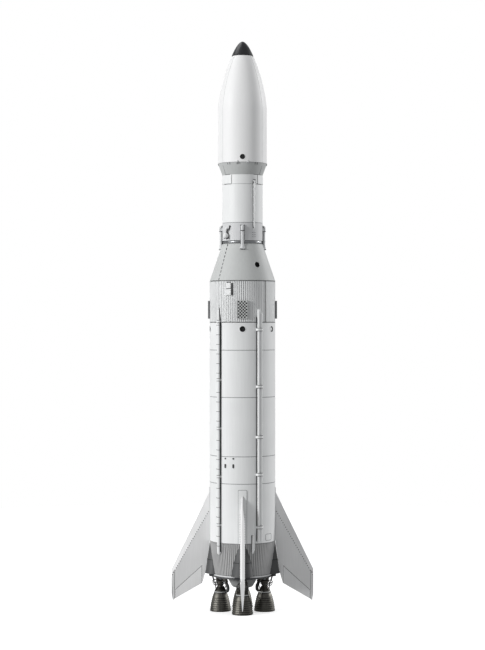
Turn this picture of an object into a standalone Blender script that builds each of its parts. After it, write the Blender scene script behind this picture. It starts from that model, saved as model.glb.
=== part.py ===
"""Two-stage space rocket with four swinging engines, fin rudders and an opening nose fairing.

Metres, +Z up. The rocket stands on its nozzle rims at z = 0 and its long axis is the Z axis.
Azimuth 0 is the front, along -Y, and azimuth 90 is the right side, along +X.
A local frame at an azimuth has X pointing outward, Y along the girth and Z up.
"""
import math

import bmesh
import bpy
from mathutils import Matrix, Vector

# Driving sizes

STAGE1_RADIUS = 1.90
STAGE2_RADIUS = 1.17
FAIRING_RADIUS = 1.41
AFT_SKIRT_BOTTOM_RADIUS = 1.71
BODY_SEGMENTS = 64
STRINGERS = 96
STRINGER_DEPTH = 0.035
SEAT_GAP = 0.0003
SIDES = {"front": 0.0, "right": 90.0, "rear": 180.0, "left": 270.0}

# Heights of the joints between the sections, from the nozzle rims up

BASE_PLATE_BOTTOM = 2.03
AFT_SKIRT_BOTTOM = 2.19
AFT_SKIRT_TOP = 4.09
INTERTANK_BOTTOM = 7.50
INTERTANK_TOP = 9.06
OXIDISER_WELD = 12.44
OXIDISER_END = 15.14
FORWARD_SKIRT_BOTTOM = 16.73
FORWARD_SKIRT_TOP = 19.12
SEPARATION_RING_BOTTOM = 21.28
EQUIPMENT_BAY_BOTTOM = 21.43
STAGE2_TANK_BOTTOM = 22.48
STAGE2_SKIRT_BOTTOM = 24.70
FAIRING_BASE_BOTTOM = 25.25
FAIRING_BASE_TOP = 25.93
OGIVE_START = 29.07
NOSE_CAP_BOTTOM = 32.22
NOSE_TIP = 33.08

# Square pads under the base plate for the launch table's arms

PAD_OFFSET = 1.04
PAD_HALF = 0.12
PAD_DEPTH = 0.02

# Round ports: azimuth, height and diameter

PORT_DEPTH = 0.10
TANK_PORTS = ((0.0, 16.35, 0.33), (62.0, 16.35, 0.33), (-80.0, 16.35, 0.33))
CONE_PORT = (32.0, 20.04, 0.32)
PETAL_PORT_HEIGHT = 26.23
PETAL_PORT_RADIUS = 0.14

# Engines

ENGINE_CIRCLE = 1.278
PIVOT_HEIGHT = 1.90
ENGINE_SEGMENTS = 24
CHAMBER_RADIUS = 0.255
CHAMBER_BOTTOM = -0.42
NOZZLE_EXIT_RADIUS = 0.60
PUMP_TURN = 150.0
CHAMBER_PROFILE = (
    (0.20, CHAMBER_BOTTOM),
    (0.20, -0.36),
    (CHAMBER_RADIUS, -0.33),
    (CHAMBER_RADIUS, -0.15),
    (0.15, -0.10),
)
NOZZLE_OUTER = (
    (0.215, -0.50),
    (0.375, -0.765),
    (0.375, -0.80),
    (0.357, -0.84),
    (0.488, -1.30),
    (0.56, -1.60),
)
NOZZLE_INNER = ((0.463, -1.30), (0.33, -0.84), (0.10, -0.50))
NOZZLE_LIP = 0.022
PUMP_STATIONS = (
    (0.07, -0.08, 0.40),
    (0.11, -0.12, 0.40),
    (0.11, -0.30, 0.40),
    (0.09, -0.35, 0.42),
    (0.09, -0.74, 0.48),
)
ACTUATOR_STATIONS = ((0.04, -0.45), (0.04, -0.39), (0.025, -0.38), (0.025, -0.16), (0.045, -0.15))
PIN_RADIUS = 0.030
BORE_RADIUS = 0.0309
PIN_SEGMENTS = 16

# Engine fairings on the aft skirt

LOBE_CENTRE = 1.50
LOBE_RADIUS = 0.66
LOBE_TOP = 4.00
LOBE_BOTTOM = 2.20
PLATE_LOBE_RADIUS = 0.45

# Fins and rudders, as radius and height in the fin's plane

FIN_HALF = 0.145
FIN_EDGE_HALF = 0.012
TRAILING_HALF = 0.015
FIN_ROOT_RADIUS = 1.915
FIN_HEEL_RADIUS = 2.156
FIN_HEEL_HALF = 0.08
FIN_LEAD_ROOT = 6.94
FIN_LEAD_SLOPE = -2.041
WEDGE_ROOT = 5.89
WEDGE_SLOPE = -1.745
FIN_TIP_RADIUS = 4.11
FIN_TIP_TRAIL_RADIUS = 4.04
FIN_TIP_TRAIL_HEIGHT = 0.60
RUDDER_IN = 2.36
RUDDER_OUT = 3.91
HINGE_IN_HEIGHT = 2.58
HINGE_SLOPE = -0.9032
TRAIL_IN_HEIGHT = 1.59
TRAIL_SLOPE = -0.5742
RUDDER_NOSE = 0.130
RUDDER_COVE = 0.142
RUDDER_END_GAP = 0.030
NOTCH_IN = 2.34
NOTCH_OUT = 3.93
ROOT_PLATE_THICKNESS = 0.030

# Fairing petals

PETAL_WALL = 0.05
PETAL_COLUMNS = 12
PETAL_SEAM = 0.008
PETAL_BASE_GAP = 0.006
PETAL_TOP_GAP = 0.025
PETAL_HINGE_RADIUS = 1.44
PETAL_HINGE_OFFSET = 0.30
PETAL_PIN = 0.020
PETAL_BORE = 0.0209
PETALS = {"front": 0.0, "right": 120.0, "left": 240.0}

# Cable ducts, pipes and boxes on the body

LEFT_DUCT_AZIMUTH = -45.0
LEFT_DUCT_CLAMPS = (5.13, 7.90, 10.66, 13.44, 16.78)
RIGHT_TUBES = ((28.7, 17.49), (34.2, 17.28))
RIGHT_TUBE_RADIUS = 0.075
RIGHT_TUBE_BOTTOM = 4.20
RIGHT_CLAMP_AZIMUTH = 31.45
RIGHT_CLAMPS = (5.03, 8.04, 10.18, 13.06, 16.32)
STAGE2_DUCT_AZIMUTH = 34.0
STAGE2_DUCT_RADIUS = 0.05
DRAIN_PIPE_AZIMUTH = 19.0
DRAIN_PIPE_TOP = 4.64
DRAIN_PIPE_LENGTH = 1.09
DRAIN_PIPE_RADIUS = 0.045
DRAIN_PIPE_BEND = 0.07
EQUIPMENT_BOX_AZIMUTH = -24.375
EQUIPMENT_BOX_STATIONS = (
    (18.29, 0.11, 0.19),
    (18.65, 0.11, 0.19),
    (18.66, 0.08, 0.17),
    (18.98, 0.08, 0.17),
)
THRUSTER_AZIMUTH = -52.0
THRUSTER_RADIUS = 0.17
THRUSTER_HEIGHT = 21.74

# Finishes: colour, roughness, metallic

FINISHES = {
    "white paint": ((0.82, 0.82, 0.83), 0.38, 0.0),
    "grey paint": ((0.42, 0.43, 0.45), 0.45, 0.0),
    "dark grey paint": ((0.13, 0.135, 0.15), 0.5, 0.0),
    "charcoal": ((0.035, 0.037, 0.045), 0.45, 0.0),
    "polished metal": ((0.75, 0.76, 0.78), 0.25, 1.0),
    "gunmetal": ((0.20, 0.18, 0.16), 0.38, 0.9),
}


def clear_scene():
    """Remove every object of the open file."""
    for item in list(bpy.data.objects):
        bpy.data.objects.remove(item, do_unlink=True)


def make_material(name, finish):
    """Make a piece's own material from one of the finishes."""
    colour, roughness, metallic = FINISHES[finish]
    material = bpy.data.materials.new(name)
    material.use_nodes = True
    shader = material.node_tree.nodes["Principled BSDF"]
    shader.inputs["Base Color"].default_value = (*colour, 1.0)
    shader.inputs["Roughness"].default_value = roughness
    shader.inputs["Metallic"].default_value = metallic
    return material


def add_solid(name, bm, finish):
    """Turn a bmesh into a named solid with its faces outward."""
    bmesh.ops.recalc_face_normals(bm, faces=bm.faces)
    mesh = bpy.data.meshes.new(name)
    bm.to_mesh(mesh)
    bm.free()
    mesh.shade_smooth()
    mesh.set_sharp_from_angle(angle=math.radians(35.0))
    mesh.materials.append(make_material(name, finish))
    solid = bpy.data.objects.new(name, mesh)
    bpy.context.scene.collection.objects.link(solid)
    return solid


def frame_at(azimuth, radius=0.0, height=0.0):
    """Give the local frame at an azimuth: X outward, Y along the girth, Z up."""
    turn = Matrix.Rotation(math.radians(azimuth - 90.0), 4, "Z")
    return turn @ Matrix.Translation((radius, 0.0, height))


def place(solid, azimuth, radius=0.0, height=0.0):
    """Set a solid in the local frame at an azimuth."""
    angle = math.radians(azimuth - 90.0)
    solid.location = (radius * math.cos(angle), radius * math.sin(angle), height)
    solid.rotation_euler = (0.0, 0.0, angle)


def combine(solid, tool, operation):
    """Apply a Boolean with a tool solid, and remove the tool."""
    modifier = solid.modifiers.new(operation.lower(), "BOOLEAN")
    modifier.operation = operation
    modifier.solver = "EXACT"
    modifier.object = tool
    bpy.context.view_layer.update()
    graph = bpy.context.evaluated_depsgraph_get()
    plain = solid.data
    solid.data = bpy.data.meshes.new_from_object(solid.evaluated_get(graph))
    solid.modifiers.clear()
    bpy.data.meshes.remove(plain)
    bpy.data.objects.remove(tool, do_unlink=True)


def loft(bm, rings, frame=None):
    """Skin a row of rings of points and close both ends; a ring of one point is an apex."""
    frame = frame or Matrix()
    rows = [[bm.verts.new(frame @ Vector(point)) for point in ring] for ring in rings]
    for below, above in zip(rows, rows[1:]):
        count = max(len(below), len(above))
        for index in range(count):
            following = (index + 1) % count
            corners = [below[index % len(below)], below[following % len(below)]]
            corners += [above[following % len(above)], above[index % len(above)]]
            bm.faces.new(list(dict.fromkeys(corners)))
    for row in (rows[0], rows[-1]):
        if len(row) > 1:
            bm.faces.new(row)


def circle(radius, height, segments, centre=(0.0, 0.0)):
    """Give a level ring of points, or one point where the radius is zero."""
    if radius == 0.0:
        return [(centre[0], centre[1], height)]
    step = 2.0 * math.pi / segments
    return [
        (centre[0] + radius * math.cos(step * i), centre[1] + radius * math.sin(step * i), height)
        for i in range(segments)
    ]


def turned(name, profile, finish, segments=BODY_SEGMENTS):
    """Turn a solid with flat ends from (radius, height) points, bottom first."""
    bm = bmesh.new()
    loft(bm, [circle(radius, height, segments) for radius, height in profile])
    return add_solid(name, bm, finish)


def turned_shell(profile, segments):
    """Spin a closed profile of (radius, height) points into a hollow shell."""
    bm = bmesh.new()
    points = [bm.verts.new((radius, 0.0, height)) for radius, height in profile]
    edges = [bm.edges.new((points[i - 1], points[i])) for i in range(len(points))]
    bmesh.ops.spin(
        bm, geom=points + edges, cent=(0, 0, 0), axis=(0, 0, 1), angle=2.0 * math.pi, steps=segments
    )
    bmesh.ops.remove_doubles(bm, verts=bm.verts, dist=0.0001)
    return bm


def box(bm, low, high, frame=None):
    """Add a block between two corners."""
    rings = [
        [(low[0], low[1], z), (high[0], low[1], z), (high[0], high[1], z), (low[0], high[1], z)]
        for z in (low[2], high[2])
    ]
    loft(bm, rings, frame)


def slab(bm, outline, low, high, frame=None):
    """Add a plate with an outline in X and Z, between two Y values."""
    loft(bm, [[(x, y, z) for x, z in outline] for y in (low, high)], frame)


def rod(bm, start, end, radius, segments, frame=None):
    """Add a straight round bar between two points."""
    start = Vector(start)
    axis = Vector(end) - start
    side = axis.orthogonal().normalized()
    other = axis.cross(side).normalized()
    rings = []
    for fraction in (0.0, 1.0):
        centre = start + axis * fraction
        ring = []
        for i in range(segments):
            angle = 2.0 * math.pi * i / segments
            ring.append(centre + radius * (side * math.cos(angle) + other * math.sin(angle)))
        rings.append(ring)
    loft(bm, rings, frame)


def tool_solid(build):
    """Make an unnamed solid for a Boolean from a function that fills a bmesh."""
    bm = bmesh.new()
    build(bm)
    return add_solid("tool", bm, "grey paint")


def copy_solid(solid, name, finish):
    """Copy a solid's shape under a new name with its own material."""
    twin = bpy.data.objects.new(name, solid.data.copy())
    twin.data.materials.clear()
    twin.data.materials.append(make_material(name, finish))
    bpy.context.scene.collection.objects.link(twin)
    return twin


def set_around(pattern, name, finish, radius=0.0, height=0.0):
    """Set a copy of a local solid on each side, as a node of its own, and remove the pattern."""
    for side, azimuth in SIDES.items():
        place(copy_solid(pattern, name + "_" + side, finish), azimuth, radius, height)
    bpy.data.objects.remove(pattern, do_unlink=True)


def facet_seat(radius, offset):
    """Give the flat seat of a fitting whose nearest body edges lie an angle away."""
    return radius * math.cos(math.radians(offset)) + SEAT_GAP


# Body sections


def aft_skirt_radius(height):
    """Give the aft skirt's radius over its stringers."""
    share = (height - AFT_SKIRT_BOTTOM) / (AFT_SKIRT_TOP - AFT_SKIRT_BOTTOM)
    return AFT_SKIRT_BOTTOM_RADIUS + share * (STAGE1_RADIUS - AFT_SKIRT_BOTTOM_RADIUS)


def corrugated(name, bottom, top, bottom_radius, finish):
    """Make a skirt whose stringers stand all round it."""
    bm = bmesh.new()
    rings = []
    for radius, height in ((bottom_radius, bottom), (STAGE1_RADIUS, top - SEAT_GAP)):
        ring = []
        for i in range(2 * STRINGERS):
            reach = radius - STRINGER_DEPTH * (i % 2)
            angle = math.pi * i / STRINGERS
            ring.append((reach * math.cos(angle), reach * math.sin(angle), height))
        rings.append(ring)
    loft(bm, rings)
    return add_solid(name, bm, finish)


def cut_port(section, azimuth, height, diameter, radius):
    """Cut a round port pocket into a body section."""
    frame = frame_at(azimuth)
    start = (radius - PORT_DEPTH, 0, height)
    end = (radius + PORT_DEPTH, 0, height)
    combine(section, tool_solid(lambda bm: rod(bm, start, end, diameter / 2, 16, frame)), "DIFFERENCE")


def make_first_stage_body():
    """Make the stack of first-stage sections from the aft skirt up."""
    corrugated("aft_skirt", AFT_SKIRT_BOTTOM, AFT_SKIRT_TOP, AFT_SKIRT_BOTTOM_RADIUS, "dark grey paint")
    barrels = {
        "stage1_fuel_tank": (AFT_SKIRT_TOP, INTERTANK_BOTTOM),
        "stage1_intertank": (INTERTANK_BOTTOM, INTERTANK_TOP),
        "stage1_oxidiser_tank_lower": (INTERTANK_TOP, OXIDISER_WELD),
        "stage1_oxidiser_tank_upper": (OXIDISER_WELD, OXIDISER_END),
        "stage1_oxidiser_tank_end": (OXIDISER_END, FORWARD_SKIRT_BOTTOM),
    }
    for name, (bottom, top) in barrels.items():
        profile = [(STAGE1_RADIUS, bottom), (STAGE1_RADIUS, top - SEAT_GAP)]
        barrel = turned(name, profile, "white paint")
    for azimuth, height, diameter in TANK_PORTS:
        cut_port(barrel, azimuth, height, diameter, STAGE1_RADIUS)
    corrugated("forward_skirt", FORWARD_SKIRT_BOTTOM, FORWARD_SKIRT_TOP, STAGE1_RADIUS, "white paint")


def hold_down_pads(bm):
    """Add the four square pads between the engines."""
    low = BASE_PLATE_BOTTOM - PAD_DEPTH
    high = BASE_PLATE_BOTTOM + PAD_DEPTH
    for x in (-PAD_OFFSET, PAD_OFFSET):
        for y in (-PAD_OFFSET, PAD_OFFSET):
            box(bm, (x - PAD_HALF, y - PAD_HALF, low), (x + PAD_HALF, y + PAD_HALF, high))


def make_base():
    """Make the lobed closing plate under the aft skirt and the grey dome in its middle."""
    outline = []
    count = 96
    for i in range(count):
        angle = 2.0 * math.pi * i / count
        from_lobe = abs((angle + math.pi / 4) % (math.pi / 2) - math.pi / 4)
        reach = AFT_SKIRT_BOTTOM_RADIUS
        aside = LOBE_CENTRE * math.sin(from_lobe)
        if aside < PLATE_LOBE_RADIUS:
            chord = math.sqrt(PLATE_LOBE_RADIUS**2 - aside**2)
            reach = max(reach, LOBE_CENTRE * math.cos(from_lobe) + chord)
        outline.append((reach * math.cos(angle), reach * math.sin(angle)))
    bm = bmesh.new()
    top = AFT_SKIRT_BOTTOM - SEAT_GAP
    loft(bm, [[(x, y, z) for x, y in outline] for z in (BASE_PLATE_BOTTOM, top)])
    plate = add_solid("base_plate", bm, "charcoal")
    combine(plate, tool_solid(hold_down_pads), "UNION")
    fit_gimbal_mounts(plate)
    profile = [(0.48, 1.38), (0.58, 1.45), (0.70, 1.60), (0.82, 1.85)]
    profile.append((0.86, BASE_PLATE_BOTTOM - SEAT_GAP))
    turned("base_dome", profile, "grey paint", 32)


def make_second_stage_body():
    """Make the interstage cone and the second stage up to the fairing's base."""
    cone = turned(
        "interstage_cone",
        [(STAGE1_RADIUS, FORWARD_SKIRT_TOP), (STAGE2_RADIUS, SEPARATION_RING_BOTTOM - SEAT_GAP)],
        "grey paint",
    )
    azimuth, height, diameter = CONE_PORT
    cut_port(cone, azimuth, height, diameter, cone_radius(height))
    combine(cone, tool_solid(separation_struts), "UNION")
    sections = {
        "separation_ring": (SEPARATION_RING_BOTTOM, EQUIPMENT_BAY_BOTTOM, 1.155, "polished metal"),
        "equipment_bay": (EQUIPMENT_BAY_BOTTOM, STAGE2_TANK_BOTTOM, STAGE2_RADIUS, "white paint"),
        "stage2_tank": (STAGE2_TANK_BOTTOM, STAGE2_SKIRT_BOTTOM, STAGE2_RADIUS, "white paint"),
        "stage2_forward_skirt": (STAGE2_SKIRT_BOTTOM, FAIRING_BASE_BOTTOM, STAGE2_RADIUS, "white paint"),
    }
    for name, (bottom, top, radius, finish) in sections.items():
        turned(name, [(radius, bottom), (radius, top - SEAT_GAP)], finish)


# Engine fairings, fins and rudders


def make_engine_fairings():
    """Make the four half cones that cover the engines' outer sides, hollowed to the skirt."""
    bm = bmesh.new()
    apex = [(STAGE1_RADIUS, 0.0, LOBE_TOP)]
    loft(bm, [apex, circle(LOBE_RADIUS, LOBE_BOTTOM, 28, (LOBE_CENTRE, 0.0))])
    fairing = add_solid("pattern", bm, "dark grey paint")
    ends = (AFT_SKIRT_BOTTOM - 0.1, AFT_SKIRT_TOP + 0.1)
    skirt = [circle(aft_skirt_radius(height) + SEAT_GAP, height, STRINGERS) for height in ends]
    combine(fairing, tool_solid(lambda bm: loft(bm, skirt)), "DIFFERENCE")
    set_around(fairing, "engine_fairing", "dark grey paint")


def hinge_height(radius):
    """Give the rudder hinge line's height at a radius."""
    return HINGE_IN_HEIGHT + HINGE_SLOPE * (radius - RUDDER_IN)


def trail_height(radius):
    """Give the trailing edge's height at a radius."""
    return TRAIL_IN_HEIGHT + TRAIL_SLOPE * (radius - RUDDER_IN)


def fin_ring(radius, bottom, bottom_half, trail_radius=None):
    """Give the fin's section at a radius: sharp leading edge, thick middle, thin trailing edge."""
    lead = FIN_LEAD_ROOT + FIN_LEAD_SLOPE * (radius - STAGE1_RADIUS)
    wedge = WEDGE_ROOT + WEDGE_SLOPE * (radius - STAGE1_RADIUS)
    hinge = max(hinge_height(radius), bottom + 0.2)
    half_ring = [
        (radius, FIN_EDGE_HALF, lead),
        (radius, FIN_HALF, wedge),
        (radius, FIN_HALF, hinge),
        (trail_radius or radius, bottom_half, bottom),
    ]
    return half_ring + [(x, -y, z) for x, y, z in reversed(half_ring)]


def ellipse_ring(radius, size, count):
    """Give the level cut at a radius through a round bar on the slanted hinge line."""
    stretch = math.hypot(1.0, HINGE_SLOPE)
    ring = []
    for i in range(count):
        angle = 2.0 * math.pi * i / count
        height = hinge_height(radius) + stretch * size * math.cos(angle)
        ring.append((radius, size * math.sin(angle), height))
    return ring


def hinge_rod(bm, radius, beyond):
    """Add a round bar along the rudder's hinge line, past both of its ends."""
    along = Vector((1.0, 0.0, HINGE_SLOPE)).normalized()
    start = Vector((RUDDER_IN, 0.0, HINGE_IN_HEIGHT)) - along * beyond
    end = Vector((RUDDER_OUT, 0.0, hinge_height(RUDDER_OUT))) + along * beyond
    rod(bm, start, end, radius, PIN_SEGMENTS)


def make_fin_mesh():
    """Make a fin with the notch, cove and pin bores for its rudder."""
    cone_slope = (LOBE_TOP - LOBE_BOTTOM) / (LOBE_CENTRE + LOBE_RADIUS - STAGE1_RADIUS)
    root_bottom = LOBE_TOP - (FIN_ROOT_RADIUS - 0.001 - STAGE1_RADIUS) * cone_slope
    heel_bottom = LOBE_TOP - (FIN_HEEL_RADIUS - 0.001 - STAGE1_RADIUS) * cone_slope
    bm = bmesh.new()
    loft(
        bm,
        [
            fin_ring(FIN_ROOT_RADIUS, root_bottom, FIN_HALF - 0.001),
            fin_ring(FIN_HEEL_RADIUS, heel_bottom, FIN_HEEL_HALF),
            fin_ring(NOTCH_IN, trail_height(NOTCH_IN), TRAILING_HALF),
            fin_ring(NOTCH_OUT, trail_height(NOTCH_OUT), TRAILING_HALF),
            fin_ring(FIN_TIP_RADIUS, FIN_TIP_TRAIL_HEIGHT, TRAILING_HALF, FIN_TIP_TRAIL_RADIUS),
        ],
    )
    fin = add_solid("pattern", bm, "white paint")
    ahead = 0.05 * math.hypot(1.0, HINGE_SLOPE)
    notch = [
        (NOTCH_IN, hinge_height(NOTCH_IN) + ahead),
        (NOTCH_OUT, hinge_height(NOTCH_OUT) + ahead),
        (NOTCH_OUT, 0.2),
        (NOTCH_IN, 1.0),
    ]
    combine(fin, tool_solid(lambda bm: slab(bm, notch, -0.3, 0.3)), "DIFFERENCE")
    cove = [ellipse_ring(radius, RUDDER_COVE, 24) for radius in (NOTCH_IN, NOTCH_OUT)]
    combine(fin, tool_solid(lambda bm: loft(bm, cove)), "DIFFERENCE")
    combine(fin, tool_solid(lambda bm: hinge_rod(bm, BORE_RADIUS, 0.115)), "DIFFERENCE")
    return fin


def make_rudder_mesh():
    """Make a rudder with its round nose and hinge pins; its origin lies on the hinge line."""
    rings = []
    for radius in (NOTCH_IN + RUDDER_END_GAP, NOTCH_OUT - RUDDER_END_GAP):
        nose = ellipse_ring(radius, RUDDER_NOSE, 24)
        front = nose[18:] + nose[:7]
        low = trail_height(radius)
        rings.append(front + [(radius, TRAILING_HALF, low), (radius, -TRAILING_HALF, low)])
    bm = bmesh.new()
    loft(bm, rings)
    rudder = add_solid("pattern", bm, "white paint")
    combine(rudder, tool_solid(lambda bm: hinge_rod(bm, PIN_RADIUS, 0.10)), "UNION")
    rudder.data.transform(Matrix.Translation((-RUDDER_IN, 0.0, -HINGE_IN_HEIGHT)))
    return rudder


def root_plate(bm):
    """Add the curved plate under a fin's root."""
    facet = 360.0 / BODY_SEGMENTS
    columns = ((-7.5, 6.90), (-facet, 7.06), (0.0, 7.15), (facet, 7.06), (7.5, 6.90))
    inner = STAGE1_RADIUS + SEAT_GAP
    outer = STAGE1_RADIUS + ROOT_PLATE_THICKNESS
    rings = []
    for angle, top in columns:
        cosine, sine = math.cos(math.radians(angle)), math.sin(math.radians(angle))
        corners = ((inner, AFT_SKIRT_TOP), (inner, top), (outer, top), (outer, AFT_SKIRT_TOP))
        rings.append([(radius * cosine, radius * sine, height) for radius, height in corners])
    loft(bm, rings)


def make_fins():
    """Set a fin and its rudder on each side."""
    fin = make_fin_mesh()
    combine(fin, tool_solid(root_plate), "UNION")
    set_around(fin, "fin", "white paint")
    set_around(make_rudder_mesh(), "rudder", "white paint", RUDDER_IN, HINGE_IN_HEIGHT)


# Engines, in a frame whose origin is the gimbal pin


def make_chamber():
    """Make the chamber with its head, gimbal lug, pin and actuator lug."""
    bm = bmesh.new()
    loft(bm, [circle(radius, height, ENGINE_SEGMENTS) for radius, height in CHAMBER_PROFILE])
    chamber = add_solid("chamber", bm, "gunmetal")
    gimbal_lug = ((-0.06, -0.12, -0.12), (0.06, 0.12, 0.05))
    actuator_lug = ((0.15, -0.02, -0.415), (0.30, 0.02, -0.37))
    for low, high in (gimbal_lug, actuator_lug):
        combine(chamber, tool_solid(lambda bm: box(bm, low, high)), "UNION")
    start, end = (0, -0.17, 0), (0, 0.17, 0)
    combine(chamber, tool_solid(lambda bm: rod(bm, start, end, PIN_RADIUS, PIN_SEGMENTS)), "UNION")
    return chamber


def make_nozzle():
    """Make the hollow nozzle with its manifold ring."""
    top = CHAMBER_BOTTOM - SEAT_GAP
    outer = [(0.20, top), *NOZZLE_OUTER, (NOZZLE_EXIT_RADIUS, -PIVOT_HEIGHT)]
    inner = [(NOZZLE_EXIT_RADIUS - NOZZLE_LIP, -PIVOT_HEIGHT), *NOZZLE_INNER, (0.10, top)]
    return add_solid("nozzle", turned_shell(outer + inner, ENGINE_SEGMENTS), "gunmetal")


def make_turbopump():
    """Make the pump beside the chamber with its exhaust duct and bracket."""
    frame = Matrix.Rotation(math.radians(PUMP_TURN), 4, "Z")
    bm = bmesh.new()
    loft(bm, [circle(radius, height, 12, (offset, 0.0)) for radius, height, offset in PUMP_STATIONS], frame)
    pump = add_solid("turbopump", bm, "gunmetal")
    inner = CHAMBER_RADIUS + SEAT_GAP
    bracket = tool_solid(lambda bm: box(bm, (inner, -0.05, -0.29), (0.36, 0.05, -0.19), frame))
    combine(pump, bracket, "UNION")
    return pump


def make_engines():
    """Hang an engine on its gimbal pin on each side."""
    pieces = {"chamber": make_chamber(), "nozzle": make_nozzle(), "turbopump": make_turbopump()}
    for side, azimuth in SIDES.items():
        pivot = bpy.data.objects.new("engine_" + side + "_pivot", None)
        bpy.context.scene.collection.objects.link(pivot)
        place(pivot, azimuth, ENGINE_CIRCLE, PIVOT_HEIGHT)
        for piece, solid in pieces.items():
            copy_solid(solid, "engine_" + side + "_" + piece, "gunmetal").parent = pivot
    for solid in pieces.values():
        bpy.data.objects.remove(solid, do_unlink=True)


def fit_gimbal_mounts(plate):
    """Join the gimbal pins' cheeks and the actuators to the base plate, and bore the cheeks."""
    top = BASE_PLATE_BOTTOM - PIVOT_HEIGHT
    stations = [*ACTUATOR_STATIONS, (0.045, top + 0.03)]
    frames = [frame_at(azimuth, ENGINE_CIRCLE, PIVOT_HEIGHT) for azimuth in SIDES.values()]

    def mounts(bm):
        for frame in frames:
            for low in (-0.165, 0.125):
                box(bm, (-0.07, low, -0.05), (0.07, low + 0.04, top + 0.03), frame)
            rings = []
            for radius, height in stations:
                offset = 0.46 + 0.296 * (height - top)
                rings.append(circle(radius, height, 8, (offset, 0.08)))
            loft(bm, rings, frame)

    def bores(bm):
        for frame in frames:
            rod(bm, (0, -0.2, 0), (0, 0.2, 0), BORE_RADIUS, PIN_SEGMENTS, frame)

    combine(plate, tool_solid(mounts), "UNION")
    combine(plate, tool_solid(bores), "DIFFERENCE")


# Fittings on the body


def tube(bm, points, radius, segments, frame=None):
    """Add a round tube through points, its rings turned with the path."""
    points = [Vector(point) for point in points]
    rings = []
    for i, point in enumerate(points):
        along = (points[min(i + 1, len(points) - 1)] - points[max(i - 1, 0)]).normalized()
        side = along.cross(Vector((1.0, 0.0, 0.0))).normalized()
        other = along.cross(side)
        ring = []
        for j in range(segments):
            angle = 2.0 * math.pi * j / segments
            ring.append(point + radius * (side * math.cos(angle) + other * math.sin(angle)))
        rings.append(ring)
    loft(bm, rings, frame)


def duct_ring(seat, proud, half, height):
    """Give a cable duct's section: flat on the body, chamfered outside."""
    chamfer = 0.35 * half
    reach = seat + proud
    return [
        (seat, -half, height),
        (reach - chamfer, -half, height),
        (reach, chamfer - half, height),
        (reach, half - chamfer, height),
        (reach - chamfer, half, height),
        (seat, half, height),
    ]


def make_cable_ducts():
    """Make the closed duct on the left, the twin tubes on the right and the second stage's tube."""
    seat = STAGE1_RADIUS + SEAT_GAP
    bm = bmesh.new()
    rings = [duct_ring(seat, 0.05, 0.05, 3.42), duct_ring(seat, 0.12, 0.11, 3.55)]
    for height in LEFT_DUCT_CLAMPS:
        for step, extra in ((-0.06, 0.0), (-0.055, 0.03), (0.055, 0.03), (0.06, 0.0)):
            rings.append(duct_ring(seat, 0.12 + extra, 0.11 + extra, height + step))
    rings += [duct_ring(seat, 0.10, 0.08, 17.25), duct_ring(seat, 0.02, 0.015, 17.64)]
    loft(bm, rings, frame_at(LEFT_DUCT_AZIMUTH))
    add_solid("cable_duct_left", bm, "white paint")

    centre = seat + RIGHT_TUBE_RADIUS + 0.01
    bm = bmesh.new()
    for azimuth, top in RIGHT_TUBES:
        rod(bm, (centre, 0, RIGHT_TUBE_BOTTOM), (centre, 0, top), RIGHT_TUBE_RADIUS, 10, frame_at(azimuth))
    ducts = add_solid("cable_duct_right", bm, "white paint")
    clamp = duct_ring(facet_seat(STAGE1_RADIUS, 2.30), 0.19, 0.21, 0.0)
    for height in RIGHT_CLAMPS:
        rings = [[(x, y, height + half) for x, y, _ in clamp] for half in (-0.05, 0.05)]
        combine(ducts, tool_solid(lambda bm: loft(bm, rings, frame_at(RIGHT_CLAMP_AZIMUTH))), "UNION")

    centre = STAGE2_RADIUS + SEAT_GAP + STAGE2_DUCT_RADIUS
    bm = bmesh.new()
    stations = [(0.02, 22.07), (STAGE2_DUCT_RADIUS, 22.30), (STAGE2_DUCT_RADIUS, 24.95)]
    rings = [circle(size, height, 10, (centre, 0.0)) for size, height in stations]
    loft(bm, rings, frame_at(STAGE2_DUCT_AZIMUTH))
    add_solid("stage2_cable_duct", bm, "white paint")


def make_drain_pipe():
    """Make the bent pipe low on the front."""
    out = STAGE1_RADIUS + DRAIN_PIPE_RADIUS - 0.0009
    bm = bmesh.new()
    points = []
    count = 15
    for i in range(count):
        share = i / (count - 1)
        aside = DRAIN_PIPE_BEND * (1.0 + math.sin(math.pi * (share * 2.0 - 0.5)))
        points.append((out, -aside, DRAIN_PIPE_TOP - share * DRAIN_PIPE_LENGTH))
    tube(bm, points, DRAIN_PIPE_RADIUS, 8, frame_at(DRAIN_PIPE_AZIMUTH))
    add_solid("drain_pipe", bm, "white paint")


def make_vent_grilles():
    """Make the four grilles on the forward skirt, each a raised block with sunk cells."""
    half, bottom, top, outer = 0.29, 16.95, 17.98, STAGE1_RADIUS + 0.10
    columns, rows, bar, depth = 3, 5, 0.025, 0.05
    width = (2 * half - bar) / columns
    height = (top - bottom - bar) / rows

    def cells(bm):
        for column in range(columns):
            for row in range(rows):
                y = -half + bar + column * width
                z = bottom + bar + row * height
                box(bm, (outer - depth, y, z), (outer + depth, y + width - bar, z + height - bar))

    bm = bmesh.new()
    box(bm, (STAGE1_RADIUS + SEAT_GAP, -half, bottom), (outer, half, top))
    grille = add_solid("pattern", bm, "grey paint")
    combine(grille, tool_solid(cells), "DIFFERENCE")
    set_around(grille, "vent_grille", "grey paint")


def make_equipment_box():
    """Make the stepped equipment box on the forward skirt."""
    seat = facet_seat(STAGE1_RADIUS, 1.875)
    bm = bmesh.new()
    rings = []
    for height, proud, half in EQUIPMENT_BOX_STATIONS:
        rings.append([(seat, -half, height), (seat + proud, -half, height)])
        rings[-1] += [(seat + proud, half, height), (seat, half, height)]
    loft(bm, rings, frame_at(EQUIPMENT_BOX_AZIMUTH))
    add_solid("equipment_box", bm, "white paint")


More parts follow.
